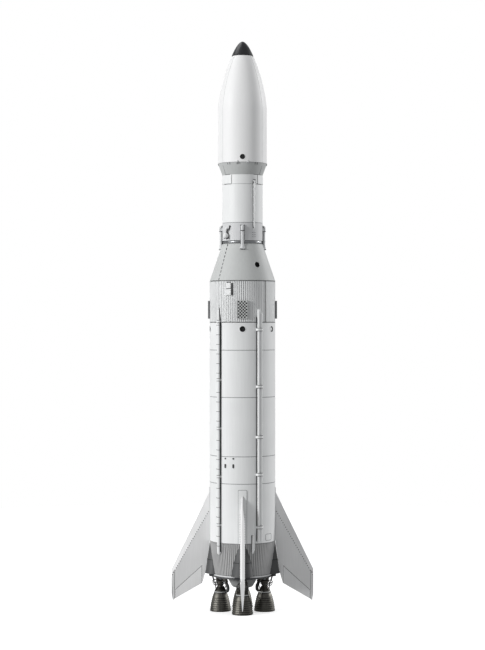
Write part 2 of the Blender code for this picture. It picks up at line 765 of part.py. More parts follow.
def cone_radius(height):
    """Give the body's radius beside the separation ring, on the cone or on the bay."""
    slope = (STAGE1_RADIUS - STAGE2_RADIUS) / (SEPARATION_RING_BOTTOM - FORWARD_SKIRT_TOP)
    return STAGE2_RADIUS + max(0.0, SEPARATION_RING_BOTTOM - height) * slope


def separation_struts(bm):
    """Add the four struts that rise from the cone and bridge the separation ring."""
    stations = [(20.88, 0.165, 1.40), (21.10, 0.165, 1.38), (21.11, 0.11, 1.35), (21.25, 0.11, 1.35)]
    stations += [(SEPARATION_RING_BOTTOM - SEAT_GAP, 0.11, 1.35), (21.93, 0.11, 1.33), (21.94, 0.145, 1.35)]
    stations += [(22.25, 0.145, 1.35), (22.31, 0.11, 1.32)]
    for azimuth in SIDES.values():
        rings = []
        for height, half, reach in stations:
            seat = STAGE2_RADIUS + SEAT_GAP
            if height <= 21.25:
                seat = cone_radius(height) - 0.02
            rings.append(duct_ring(seat, reach - seat, half, height))
        loft(bm, rings, frame_at(azimuth))


def make_roll_thruster():
    """Make the roll thruster: a bracket, a slanted link and a round tank."""
    frame = frame_at(THRUSTER_AZIMUTH)
    seat = STAGE2_RADIUS + SEAT_GAP
    middle = (seat + 0.19, 0.0, THRUSTER_HEIGHT)
    bm = bmesh.new()
    bmesh.ops.create_uvsphere(bm, u_segments=12, v_segments=8, radius=THRUSTER_RADIUS)
    bmesh.ops.transform(bm, matrix=frame @ Matrix.Translation(middle), verts=bm.verts)
    thruster = add_solid("roll_thruster", bm, "white paint")
    link = tool_solid(lambda bm: rod(bm, (seat + 0.07, 0, 22.15), middle, 0.045, 8, frame))
    combine(thruster, link, "UNION")
    bracket = tool_solid(lambda bm: box(bm, (seat, -0.10, 22.08), (seat + 0.10, 0.10, 22.20), frame))
    combine(thruster, bracket, "UNION")


# Nose fairing


def nose_radius(height):
    """Give the fairing's outer radius: a cylinder with a curved nose."""
    share = max(0.0, (height - OGIVE_START) / (NOSE_TIP - OGIVE_START))
    return FAIRING_RADIUS * max(0.0, 1.0 - share**1.65) ** 0.72


def petal_ring(height):
    """Give a petal's section at a height: an arc with the wall's thickness."""
    ring = []
    outer = nose_radius(height)
    for radius, order in ((outer, 1.0), (outer - PETAL_WALL, -1.0)):
        half = math.radians(60.0) - math.asin(PETAL_SEAM / 2.0 / radius)
        for i in range(PETAL_COLUMNS + 1):
            angle = order * half * (2.0 * i / PETAL_COLUMNS - 1.0)
            ring.append((radius * math.cos(angle), radius * math.sin(angle), height))
    return ring


def make_petal(side, azimuth):
    """Make a fairing petal with the lugs and pins of its two hinges; its origin is on their axis."""
    top = NOSE_CAP_BOTTOM - (0.0 if side == "front" else PETAL_TOP_GAP)
    heights = [FAIRING_BASE_TOP + PETAL_BASE_GAP, OGIVE_START]
    heights += [OGIVE_START + (top - OGIVE_START) * share for share in (0.18, 0.34, 0.5, 0.67, 0.84, 1.0)]
    bm = bmesh.new()
    loft(bm, [petal_ring(height) for height in heights])
    petal = add_solid("fairing_petal_" + side, bm, "white paint")
    base = FAIRING_BASE_TOP
    lug = [(1.37, base + 0.02), (1.41, base + 0.02), (1.41, base - 0.025), (1.47, base - 0.025)]
    lug += [(1.47, base + 0.06), (1.42, base + 0.12), (1.35, base + 0.12)]
    for middle in (-PETAL_HINGE_OFFSET, PETAL_HINGE_OFFSET):
        combine(petal, tool_solid(lambda bm: slab(bm, lug, middle - 0.02, middle + 0.02)), "UNION")
        start = (PETAL_HINGE_RADIUS, middle - 0.06, base)
        end = (PETAL_HINGE_RADIUS, middle + 0.06, base)
        combine(petal, tool_solid(lambda bm: rod(bm, start, end, PETAL_PIN, PIN_SEGMENTS)), "UNION")
    if side == "front":
        start = (FAIRING_RADIUS - 0.2, 0, PETAL_PORT_HEIGHT)
        end = (FAIRING_RADIUS + 0.2, 0, PETAL_PORT_HEIGHT)
        combine(petal, tool_solid(lambda bm: rod(bm, start, end, PETAL_PORT_RADIUS, 20)), "DIFFERENCE")
    petal.data.transform(Matrix.Translation((-PETAL_HINGE_RADIUS, 0.0, -base)))
    place(petal, azimuth, PETAL_HINGE_RADIUS, base)


def make_fairing_base():
    """Make the cone under the fairing with the hinge plates of the petals."""
    base = turned(
        "fairing_base",
        [(STAGE2_RADIUS, FAIRING_BASE_BOTTOM), (FAIRING_RADIUS, FAIRING_BASE_TOP)],
        "grey paint",
    )
    top = FAIRING_BASE_TOP
    plate = [(1.31, top - 0.14), (1.475, top - 0.06), (1.475, top + 0.01), (1.45, top + 0.035)]
    plate += [(1.425, top + 0.03), (1.405, top), (1.31, top - 0.06)]

    def plates(bm):
        for azimuth in PETALS.values():
            for middle in (-PETAL_HINGE_OFFSET, PETAL_HINGE_OFFSET):
                for low in (middle - 0.065, middle + 0.028):
                    slab(bm, plate, low, low + 0.037, frame_at(azimuth))

    def bores(bm):
        for azimuth in PETALS.values():
            for middle in (-PETAL_HINGE_OFFSET, PETAL_HINGE_OFFSET):
                start = (PETAL_HINGE_RADIUS, middle - 0.10, top)
                end = (PETAL_HINGE_RADIUS, middle + 0.10, top)
                rod(bm, start, end, PETAL_BORE, PIN_SEGMENTS, frame_at(azimuth))

    combine(base, tool_solid(plates), "UNION")
    combine(base, tool_solid(bores), "DIFFERENCE")
    turned("payload_adapter", [(0.90, top + SEAT_GAP), (0.47, 26.33)], "grey paint", 32)


def make_nose_cap():
    """Make the dark cap on the fairing's tip."""
    start = NOSE_CAP_BOTTOM + SEAT_GAP
    heights = [start + (NOSE_TIP - start) * share for share in (0.0, 0.3, 0.6, 0.85, 0.97)]
    profile = [(nose_radius(height), height) for height in heights] + [(0.0, NOSE_TIP)]
    turned("nose_cap", profile, "charcoal", 28)


def main():
    """Build the whole rocket."""
    clear_scene()
    make_base()
    make_first_stage_body()
    make_engine_fairings()
    make_fins()
    make_engines()
    make_cable_ducts()
    make_drain_pipe()
    make_vent_grilles()
    make_equipment_box()
    make_second_stage_body()
    make_roll_thruster()
    make_fairing_base()
    for side, azimuth in PETALS.items():
        make_petal(side, azimuth)
    make_nose_cap()


main()
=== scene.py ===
"""Dresses the space rocket: its painted sections, fittings, fins and engines, with a plain studio around it.

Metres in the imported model's own frame, +Z up; the rocket stands on its nozzle rims at z = 0.
Azimuth 0 is the front, along -Y, and azimuth 90 is the right side, along +X.
"""

import math

import bmesh
import bpy
from mathutils import Matrix, Vector


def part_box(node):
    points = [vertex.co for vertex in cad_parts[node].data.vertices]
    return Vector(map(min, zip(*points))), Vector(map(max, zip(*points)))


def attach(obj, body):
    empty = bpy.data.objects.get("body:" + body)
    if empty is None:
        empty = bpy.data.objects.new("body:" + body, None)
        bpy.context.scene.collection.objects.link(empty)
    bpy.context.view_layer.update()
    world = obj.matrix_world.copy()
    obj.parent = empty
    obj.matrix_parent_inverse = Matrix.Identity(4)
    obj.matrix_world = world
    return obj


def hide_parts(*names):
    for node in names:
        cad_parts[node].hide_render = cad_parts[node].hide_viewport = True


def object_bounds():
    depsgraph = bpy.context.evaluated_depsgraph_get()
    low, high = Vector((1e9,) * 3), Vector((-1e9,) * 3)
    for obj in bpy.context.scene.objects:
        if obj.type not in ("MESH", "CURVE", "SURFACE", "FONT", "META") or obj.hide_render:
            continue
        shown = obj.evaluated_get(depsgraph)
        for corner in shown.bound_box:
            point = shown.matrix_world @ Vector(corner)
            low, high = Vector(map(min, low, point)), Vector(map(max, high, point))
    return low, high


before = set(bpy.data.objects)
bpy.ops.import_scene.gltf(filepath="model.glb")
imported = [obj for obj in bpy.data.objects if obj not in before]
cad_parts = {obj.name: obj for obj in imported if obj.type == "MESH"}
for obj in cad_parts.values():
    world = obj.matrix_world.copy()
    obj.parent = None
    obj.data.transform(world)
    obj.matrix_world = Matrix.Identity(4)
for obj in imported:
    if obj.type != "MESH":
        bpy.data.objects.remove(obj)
CAD_BOX = [list(corner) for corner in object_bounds()]

bl_info = {
    "name": "Space rocket dressing",
    "version": (1, 0, 0),
    "blender": (4, 5, 0),
    "location": "3D View > Sidebar > Rocket",
    "description": "Models the finished surfaces of a two-stage space rocket around its packed frame",
    "category": "Object",
}

SIDES = {"front": 0.0, "right": 90.0, "rear": 180.0, "left": 270.0}
PETALS = {"front": 0.0, "right": 120.0, "left": 240.0}
SMOOTH_ANGLE = math.radians(38.0)
UP, DOWN = Vector((0.0, 0.0, 1.0)), Vector((0.0, 0.0, -1.0))


def to_linear(code):
    """Turn an sRGB hex value into linear red, green and blue."""
    shares = [int(code[i : i + 2], 16) / 255.0 for i in (0, 2, 4)]
    return tuple(s / 12.92 if s <= 0.04045 else ((s + 0.055) / 1.055) ** 2.4 for s in shares)


def span(node):
    """Give a node's lowest height, highest height and outer radius."""
    low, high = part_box(node)
    return low.z, high.z, high.x


# Sizes and colours that a user may change


def length(name, description, default):
    """Make a length property in metres."""
    return bpy.props.FloatProperty(
        name=name, description=description, default=default, min=0.0, unit="LENGTH"
    )


def colour(name, description, code):
    """Make a colour property from an sRGB hex value."""
    return bpy.props.FloatVectorProperty(
        name=name, description=description, default=to_linear(code), size=3, min=0.0, max=1.0, subtype="COLOR"
    )


class RocketSizes(bpy.types.PropertyGroup):
    """Sizes of the fine forms that the frame leaves open."""

    round_segments: bpy.props.IntProperty(
        name="Round segments", description="Faces around a body section", default=192, min=48
    )
    seam_half: length("Seam half width", "Half the width of the sealed joint between two sections", 0.016)
    seam_depth: length("Seam depth", "Depth of the sealed joint", 0.014)
    stringers: bpy.props.IntProperty(
        name="Stringers", description="Stringers around the first stage's skirts", default=96, min=12
    )
    stringer_depth: length("Stringer depth", "How far a stringer stands off its skirt", 0.034)
    rivet_radius: length("Rivet head radius", "Radius of the rivet heads, drawn coarse enough to show", 0.014)
    rivet_pitch: length("Rivet pitch", "Distance between rivets in a row", 0.115)
    clamp_pitch: length("Duct clamp pitch", "Distance between the small clamps of the left duct", 0.55)
    edge_strip: length("Petal edge strip", "Width of the strip along each edge of a petal", 0.15)
    nozzle_wall: length("Nozzle wall", "Thickness of a nozzle at its exit", 0.022)


class RocketColours(bpy.types.PropertyGroup):
    """Colours of the finishes."""

    white: colour("White enamel", "Second stage", "F0F1F1")
    fairing_white: colour("Fairing enamel", "Nose fairing", "F5F5F5")
    tank_white: colour("Tank enamel", "First-stage tanks and skirt", "EEEFEF")
    fin_white: colour("Fin enamel", "Fins and rudders", "ECECEC")
    pale_grey: colour("Pale grey enamel", "Equipment bay", "D9DADB")
    cone_grey: colour("Cone enamel", "Interstage cone", "CCCECD")
    base_grey: colour("Adapter enamel", "Cone under the fairing", "C8CAC9")
    skirt_grey: colour("Skirt enamel", "Corrugated aft skirt", "B6B6B6")
    # Also the colour of painted shade at the equipment box, the right ducts, the strut rails and the second
    # stage's skirt panels.
    fairing_grey: colour("Heat enamel", "Engine fairings", "4C4D4E")
    dome_grey: colour("Dome enamel", "Dome between the engines", "A0A1A1")
    charcoal: colour("Charcoal enamel", "Nose cap and base plate", "222326")
    # Also the colour of painted shade beside the left duct, round the fin root plates and under the louver
    # blades.
    sealant: colour("Seam sealant", "Joints between the sections", "8B8D8E")
    panel_grey: colour("Panel grey enamel", "Grille frames and fittings", "7E7F80")
    # The two stringer colours below are painted shade: darker paint in the valleys between the stringers.
    shade: colour("Stringer shade", "Skin between the forward skirt's stringers", "9C9E9F")
    skirt_shade: colour("Aft stringer shade", "Skin between the aft skirt's stringers", "5E5F5F")
    primer: colour("Inner primer", "Inside of the fairing petals", "C9CDBF")
    # Also the colour of painted shade in ports, holes, gaps and along shaded sides.
    rubber: colour("Black rubber", "Seals, cables and screens", "0F1011")
    aluminium: colour("Polished aluminium", "Separation ring and rims", "A9ABAD")
    steel: colour("Machined steel", "Engine heads, pins and pipes", "575551")
    alloy: colour("Nozzle alloy", "Nozzles", "6E6D69")
    alloy_hot: colour("Heat tint", "Warm bloom on the nozzles", "625F58")


# Materials


def add_node(tree, kind, settings=None, links=None):
    """Add one node, set its properties and inputs, and link other nodes' outputs to its inputs."""
    node = tree.nodes.new(kind)
    for key, value in (settings or {}).items():
        if isinstance(key, str) and hasattr(node, key):
            setattr(node, key, value)
        else:
            node.inputs[key].default_value = value
    for key, source in (links or {}).items():
        tree.links.new(source, node.inputs[key])
    return node


def new_material(name):
    """Start a material and give its tree, its shader and the object's own coordinates."""
    material = bpy.data.materials.new(name)
    material.use_nodes = True
    tree = material.node_tree
    shader = tree.nodes["Principled BSDF"]
    place = add_node(tree, "ShaderNodeTexCoord")
    return material, tree, shader, place.outputs["Object"]


def noise(tree, place, size_mm, detail):
    """Give a noise whose grain has a real size."""
    settings = {"Scale": 1000.0 / size_mm, "Detail": detail}
    return add_node(tree, "ShaderNodeTexNoise", settings, {"Vector": place}).outputs["Fac"]


def stretched(tree, place, scale):
    """Give coordinates scaled along each axis."""
    return add_node(tree, "ShaderNodeMapping", {"Scale": scale}, {"Vector": place}).outputs[0]


def ranged(tree, value, low, high, new_low, new_high):
    """Give a value moved from one range into another."""
    settings = {"From Min": low, "From Max": high, "To Min": new_low, "To Max": new_high}
    return add_node(tree, "ShaderNodeMapRange", settings, {"Value": value}).outputs["Result"]


def mixed(tree, settings, links):
    """Give a mix of two colours; socket 0 is the share, 6 and 7 are the colours."""
    return add_node(tree, "ShaderNodeMix", {"data_type": "RGBA", **settings}, links).outputs[2]


def wire(tree, shader, colour, height, strength, distance):
    """Link the shader to its colour and to a bump."""
    settings = {"Strength": strength, "Distance": distance}
    bump = add_node(tree, "ShaderNodeBump", settings, {"Height": height})
    tree.links.new(colour, shader.inputs["Base Color"])
    tree.links.new(bump.outputs["Normal"], shader.inputs["Normal"])


def enamel(name, base, roughness, grime):
    """Two-pack polyurethane enamel, sprayed on aluminium skin.

    It gives an even satin colour, with a soft orange peel, faint cloudy tone from the sprayer's passes
    and thin rain streaks that run down the body.
    """
    peel_mm, cloud_mm, streak_mm = 45.0, 1400.0, 90.0
    material, tree, shader, place = new_material(name)
    cloud = noise(tree, place, cloud_mm, 3.0)
    streak = noise(tree, stretched(tree, place, (1.0, 1.0, 0.05)), streak_mm, 2.0)
    both = add_node(tree, "ShaderNodeMath", {"operation": "MULTIPLY"}, {0: cloud, 1: streak})
    tone = ranged(tree, both.outputs[0], 0.15, 0.38, 1.0 - grime, 1.0)
    painted = mixed(tree, {"blend_type": "MULTIPLY", 0: 1.0, 6: (*base, 1.0)}, {7: tone})
    gloss = ranged(tree, cloud, 0.3, 0.7, roughness - 0.05, roughness + 0.07)
    wire(tree, shader, painted, noise(tree, place, peel_mm, 1.0), 0.08, 0.002)
    tree.links.new(gloss, shader.inputs["Roughness"])
    shader.inputs["Diffuse Roughness"].default_value = 0.3
    return material


def rubber(name, base):
    """Moulded black rubber and dark openings, also used as painted shade in holes, gaps and shaded sides:
    dull, with a fine grain that keeps it from looking flat.
    """
    grain_mm = 12.0
    material, tree, shader, place = new_material(name)
    grain = noise(tree, place, grain_mm, 2.0)
    tone = mixed(tree, {6: (*base, 1.0), 7: (*[c * 1.7 for c in base], 1.0)}, {0: grain})
    wire(tree, shader, tone, grain, 0.2, 0.001)
    shader.inputs["Roughness"].default_value = 0.75
    return material


def turned_metal(name, base, roughness):
    """Turned and brushed bare metal: the tool's fine rings run round it and spread the highlight."""
    ring_mm, stain_mm = 14.0, 260.0
    material, tree, shader, place = new_material(name)
    rings = noise(tree, stretched(tree, place, (0.04, 0.04, 1.0)), ring_mm, 2.0)
    stain = noise(tree, place, stain_mm, 4.0)
    tone = mixed(tree, {6: (*[c * 0.72 for c in base], 1.0), 7: (*base, 1.0)}, {0: stain})
    gloss = ranged(tree, stain, 0.3, 0.7, roughness - 0.06, roughness + 0.08)
    wire(tree, shader, tone, rings, 0.1, 0.001)
    tree.links.new(gloss, shader.inputs["Roughness"])
    shader.inputs["Metallic"].default_value = 1.0
    return material


def nozzle_alloy(name, base, bloom):
    """Nickel alloy nozzle, brazed from tubes: gunmetal with a brown heat bloom and fine upright tubes."""
    tubes, bloom_mm, soot_mm = 90.0, 420.0, 150.0
    material, tree, shader, place = new_material(name)
    turn = add_node(tree, "ShaderNodeTexGradient", {"gradient_type": "RADIAL"}, {"Vector": place})
    settings = {"operation": "MULTIPLY", 1: tubes * 2.0 * math.pi}
    phase = add_node(tree, "ShaderNodeMath", settings, {0: turn.outputs["Fac"]})
    wave = add_node(tree, "ShaderNodeMath", {"operation": "SINE"}, {0: phase.outputs[0]})
    cloud = noise(tree, place, bloom_mm, 3.0)
    tinted = mixed(tree, {6: (*base, 1.0), 7: (*bloom, 1.0)}, {0: cloud})
    soot = noise(tree, stretched(tree, place, (1.0, 1.0, 0.2)), soot_mm, 4.0)
    dark = ranged(tree, soot, 0.35, 0.65, 0.62, 1.05)
    sooty = mixed(tree, {"blend_type": "MULTIPLY", 0: 1.0}, {6: tinted, 7: dark})
    wire(tree, shader, sooty, wave.outputs[0], 0.25, 0.003)
    tree.links.new(ranged(tree, soot, 0.3, 0.7, 0.40, 0.54), shader.inputs["Roughness"])
    shader.inputs["Metallic"].default_value = 0.92
    return material


# The nozzle alloy darkened by this share is the painted shade under the nozzle's ribs.
RIB_SHADE_DARKENING = 0.25

# Finishes: the frame's slot, the function that makes it, its colour properties and its roughness and grime
FINISHES = {
    "white_enamel": ("white_paint", enamel, ("white",), (0.50, 0.03)),
    "fairing_enamel": ("white_paint", enamel, ("fairing_white",), (0.52, 0.02)),
    "tank_enamel": ("white_paint", enamel, ("tank_white",), (0.50, 0.04)),
    "fin_enamel": ("white_paint", enamel, ("fin_white",), (0.56, 0.05)),
    "pale_grey_enamel": ("white_paint", enamel, ("pale_grey",), (0.50, 0.05)),
    "cone_grey_enamel": ("grey_paint", enamel, ("cone_grey",), (0.60, 0.05)),
    "adapter_grey_enamel": ("grey_paint", enamel, ("base_grey",), (0.55, 0.06)),
    "skirt_grey_enamel": ("dark_grey_paint", enamel, ("skirt_grey",), (0.56, 0.10)),
    "panel_grey_enamel": ("grey_paint", enamel, ("panel_grey",), (0.55, 0.08)),
    # Heat enamel also serves as painted shade at the equipment box, the right ducts, the strut rails and the
    # second stage's skirt panels.
    "heat_grey_enamel": ("dark_grey_paint", enamel, ("fairing_grey",), (0.55, 0.16)),
    "dome_grey_enamel": ("grey_paint", enamel, ("dome_grey",), (0.55, 0.14)),
    "charcoal_enamel": ("charcoal", enamel, ("charcoal",), (0.31, 0.12)),
    # Seam sealant also serves as painted shade beside the left duct, round the fin root plates and under the
    # louver blades.
    "seam_sealant": ("grey_paint", enamel, ("sealant",), (0.60, 0.10)),
    # Painted shade in the valleys between the stringers of both skirts.
    "stringer_shade": ("grey_paint", enamel, ("shade",), (0.60, 0.10)),
    "skirt_shade": ("dark_grey_paint", enamel, ("skirt_shade",), (0.60, 0.12)),
    "inner_primer": ("white_paint", enamel, ("primer",), (0.60, 0.05)),
    # Black rubber also serves as painted shade in ports, holes, gaps and along shaded sides.
    "black_rubber": ("charcoal", rubber, ("rubber",), ()),
    "polished_aluminium": ("polished_metal", turned_metal, ("aluminium",), (0.34,)),
    "machined_steel": ("gunmetal", turned_metal, ("steel",), (0.36,)),
    # Painted shade under the nozzle's ribs.
    "nozzle_joint": ("gunmetal", turned_metal, ("alloy",), (0.6,)),
    "nozzle_alloy": ("gunmetal", nozzle_alloy, ("alloy", "alloy_hot"), ()),
}


def finish(name):
    """Give a finish's material, made the first time it is asked for."""
    ready = bpy.data.materials.get(name)
    if ready:
        return ready
    colours = bpy.context.scene.rocket_colours
    _, make, tones, values = FINISHES[name]
    bases = [tuple(getattr(colours, tone)) for tone in tones]
    # The painted shade under the nozzle's ribs is the alloy darkened.
    if name == "nozzle_joint":
        bases = [tuple([tone * RIB_SHADE_DARKENING for tone in bases[0]])]
    return make(name, *bases, *values)


# Mesh making


def skin(bm, rows, number=0, frame_matrix=None, closed=True, caps=True):
    """Skin rows of points; a row of one point is an apex, and number is the faces' material."""
    matrix = frame_matrix or Matrix()
    made = [[bm.verts.new(matrix @ Vector(point)) for point in row] for row in rows]
    numbers = number if isinstance(number, list) else [number] * (len(rows) - 1)
    for below, above, kind in zip(made, made[1:], numbers):
        count = max(len(below), len(above))
        for i in range(count if closed else count - 1):
            j = (i + 1) % count
            corners = [below[i % len(below)], below[j % len(below)]]
            corners += [above[j % len(above)], above[i % len(above)]]
            bm.faces.new(list(dict.fromkeys(corners))).material_index = kind
    if caps:
        for row, kind in ((made[0], numbers[0]), (made[-1], numbers[-1])):
            if len(row) > 2:
                bm.faces.new(row).material_index = kind


def ring(radius, height, segments, centre=(0.0, 0.0)):
    """Give a level circle of points, or its centre where the radius is zero."""
    if radius == 0.0:
        return [(centre[0], centre[1], height)]
    step = 2.0 * math.pi / segments
    return [
        (centre[0] + radius * math.cos(step * i), centre[1] + radius * math.sin(step * i), height)
        for i in range(segments)
    ]


def lathe(bm, profile, segments, number=0, frame_matrix=None):
    """Turn (radius, height) points into a solid with flat ends."""
    skin(bm, [ring(radius, height, segments) for radius, height in profile], number, frame_matrix)


def hoop(bm, section, segments, number=0, frame_matrix=None, sweep=(0.0, 360.0)):
    """Sweep a closed (radius, height) section around the axis, the whole way or between two angles."""
    whole = sweep[1] - sweep[0] >= 360.0
    steps = segments if whole else segments + 1
    rows = []
    for i in range(steps):
        angle = math.radians(sweep[0] + (sweep[1] - sweep[0]) * i / segments)
        rows.append([(r * math.cos(angle), r * math.sin(angle), z) for r, z in section])
    if whole:
        rows.append(rows[0])
    skin(bm, rows, number, frame_matrix, caps=not whole)
    if whole:
        bmesh.ops.remove_doubles(bm, verts=bm.verts, dist=0.00005)


def half_turn(steps=12):
    """Give the cosine and sine of angles from -90 to 90 degrees."""
    angles = [math.radians(-90.0 + 180.0 / steps * i) for i in range(steps + 1)]
    return [(math.cos(angle), math.sin(angle)) for angle in angles]


def rectangle(left, right, bottom, top):
    """Give a rectangle's corners."""
    return [(left, bottom), (right, bottom), (right, top), (left, top)]


def taper(bottom, top, low_radius, high_radius):
    """Give the function of a cone's radius over its height."""
    return lambda height: low_radius + (high_radius - low_radius) * (height - bottom) / (top - bottom)


def bead(radius, height, size, sides=8):
    """Give a round hoop section."""
    step = 2.0 * math.pi / sides
    return [(radius + size * math.cos(step * i), height + size * math.sin(step * i)) for i in range(sides)]


def at(azimuth, radius=0.0, height=0.0):
    """Give the local frame at an azimuth: X outward, Y along the girth and Z up."""
    return Matrix.Rotation(math.radians(azimuth - 90.0), 4, "Z") @ Matrix.Translation((radius, 0.0, height))


def on_body(azimuth, aside, radius, height, lift=0.0):
    """Give a point on a round body, moved aside along the girth and lifted off the surface."""
    angle = math.radians(azimuth - 90.0) + aside / radius
    return Vector(((radius + lift) * math.cos(angle), (radius + lift) * math.sin(angle), height))


def block(bm, low, high, number=0, frame_matrix=None):
    """Add a block between two corners."""
    rows = [
        [(low[0], low[1], z), (high[0], low[1], z), (high[0], high[1], z), (low[0], high[1], z)]
        for z in (low[2], high[2])
    ]
    skin(bm, rows, number, frame_matrix)


def pipe(bm, points, radius, sides=12, number=0, frame_matrix=None):
    """Add a round tube through points; the radius may be a list, one for each point."""
    points = [Vector(point) for point in points]
    radii = radius if isinstance(radius, list) else [radius] * len(points)
    along = (points[1] - points[0]).normalized()
    side = along.orthogonal().normalized()
    rows = []
    for i, point in enumerate(points):
        ahead = (points[min(i + 1, len(points) - 1)] - points[max(i - 1, 0)]).normalized()
        side = (side - ahead * side.dot(ahead)).normalized()
        other = ahead.cross(side)
        row = []
        for j in range(sides):
            angle = 2.0 * math.pi * j / sides
            row.append(point + radii[i] * (side * math.cos(angle) + other * math.sin(angle)))
        rows.append(row)
    skin(bm, rows, number, frame_matrix)


def bend(corners, steps=8):
    """Round a row of corner points into a smooth path through their middles."""
    corners = [Vector(corner) for corner in corners]
    path = [corners[0]]
    for before, corner, after in zip(corners, corners[1:], corners[2:]):
        start = before.lerp(corner, 0.5) if before is not corners[0] else before.lerp(corner, 0.4)
        end = corner.lerp(after, 0.5) if after is not corners[-1] else corner.lerp(after, 0.6)
        for i in range(steps + 1):
            share = i / steps
            path.append(start.lerp(corner, share).lerp(corner.lerp(end, share), share))
    path.append(corners[-1])
    kept = [path[0]]
    for point in path[1:]:
        if (point - kept[-1]).length > 0.001:
            kept.append(point)
    return kept


def heads(bm, places, radius, number=0):
    """Add low domed rivet heads at (point, outward direction) places."""
    sides = 8
    for point, outward in places:
        turn = UP.rotation_difference(outward).to_matrix().to_4x4()
        matrix = Matrix.Translation(point) @ turn
        rows = [ring(radius, -0.004, sides), ring(radius * 0.9, radius * 0.22, sides)]
        rows += [ring(radius * 0.5, radius * 0.42, sides), [(0.0, 0.0, radius * 0.48)]]
        skin(bm, rows, number, matrix)


def outward(point, rise=0.0):
    """Give the direction away from the axis at a point."""
    return Vector((point.x, point.y, rise)).normalized()


def bolt_circle(bm, count, reach, height, size, frame_matrix=None):
    """Set a ring of upright bolt heads, in material 1."""
    matrix = frame_matrix or Matrix()
    for i in range(count):
        angle = math.radians(360.0 / count * i)
        point = matrix @ Vector((reach * math.cos(angle), reach * math.sin(angle), height))
        heads(bm, [(point, UP)], size, 1)


def rivets_at(azimuth, aside, bottom, top, radius, pitch):
    """List rivet places up a line on a round body."""
    count = max(2, round((top - bottom) / pitch))
    places = []
    for i in range(count + 1):
        point = on_body(azimuth, aside, radius, bottom + (top - bottom) * i / count)
        places.append((point, outward(point)))
    return places


def radius_of(radius_at, height):
    """Give a body's radius at a height; radius_at is a number or a function of the height."""
    return radius_at(height) if callable(radius_at) else radius_at


def plate_on_body(bm, azimuth, outline, radius_at, inner, outer, number=0):
    """Add a curved plate: outline holds (aside, height) points, in order around a convex shape."""
    rows = []
    for lift in (inner, outer):
        rows.append([on_body(azimuth, aside, radius_of(radius_at, z), z, lift) for aside, z in outline])
    skin(bm, rows, number)


def rounded(half_width, bottom, top, corner, steps=4):
    """Give a rounded rectangle's (aside, height) outline."""
    points = []
    middles = [(half_width - corner, top - corner), (corner - half_width, top - corner)]
    middles += [(corner - half_width, bottom + corner), (half_width - corner, bottom + corner)]
    for quarter, (aside, height) in enumerate(middles):
        for i in range(steps + 1):
            angle = math.radians(90.0 * (quarter + i / steps))
            points.append((aside + corner * math.cos(angle), height + corner * math.sin(angle)))
    return points


def divided(path, closed, longest=0.06):
    """Add points to a path, so that its steps along the girth follow a round body."""
    points = []
    for start, end in zip(path, path[1:] + path[:1] if closed else path[1:]):
        steps = max(1, math.ceil(abs(end[0] - start[0]) / longest))
        for i in range(steps):
            points.append(
                (start[0] + (end[0] - start[0]) * i / steps, start[1] + (end[1] - start[1]) * i / steps)
            )
    return points if closed else points + [path[-1]]


def strip_on_body(bm, azimuth, path, radius_at, half, inner, outer, number=0, closed=False):
    """Add a thin raised strip along (aside, height) points on a round body."""
    path = divided(path, closed)
    count = len(path)
    rows = []
    for i in range(count):
        before = path[i - 1] if i or closed else path[i]
        after = path[(i + 1) % count] if i < count - 1 or closed else path[i]
        run = Vector((after[0] - before[0], after[1] - before[1])).normalized()
        row = []
        for lift, sign in ((inner, -1.0), (outer, -1.0), (outer, 1.0), (inner, 1.0)):
            aside = path[i][0] - run.y * half * sign
            height = path[i][1] + run.x * half * sign
            row.append(on_body(azimuth, aside, radius_of(radius_at, height), height, lift))
        rows.append(row)
    if closed:
        rows.append(rows[0])
    skin(bm, rows, number, caps=not closed)
    if closed:
        bmesh.ops.remove_doubles(bm, verts=bm.verts, dist=0.00005)


def round_path(radius, height, count=24):
    """Give a circle of (aside, height) points."""
    step = 2.0 * math.pi / count
    return [(radius * math.cos(step * i), height + radius * math.sin(step * i)) for i in range(count)]


def add_object(name, data):
    """Put new data into the scene as an object."""
    made = bpy.data.objects.new(name, data)
    bpy.context.scene.collection.objects.link(made)
    return made


def mesh_of(bm, name):
    """Turn a bmesh into a mesh whose faces look outward."""
    bmesh.ops.recalc_face_normals(bm, faces=bm.faces)
    mesh = bpy.data.meshes.new(name)
    bm.to_mesh(mesh)
    bm.free()
    return mesh


def piece(bm, name, finishes, nodes=(), matrix=None, bevel=0.0, body="vehicle"):
    """Turn a bmesh into a named piece that rides on a body and may stand for frame nodes."""
    mesh = mesh_of(bm, name)
    if not mesh.polygons:
        raise RuntimeError(name + " has no faces")
    mesh.shade_smooth()
    mesh.set_sharp_from_angle(angle=SMOOTH_ANGLE)
    for kind in finishes:
        mesh.materials.append(finish(kind))
    made = add_object(name, mesh)
    if matrix:
        made.matrix_world = matrix
    if bevel:
        edge = made.modifiers.new("edges", "BEVEL")
        edge.width = bevel
        edge.segments = 2
        edge.limit_method = "ANGLE"
        edge.harden_normals = True
    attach(made, body)
    if nodes:
        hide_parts(*nodes)
    return made


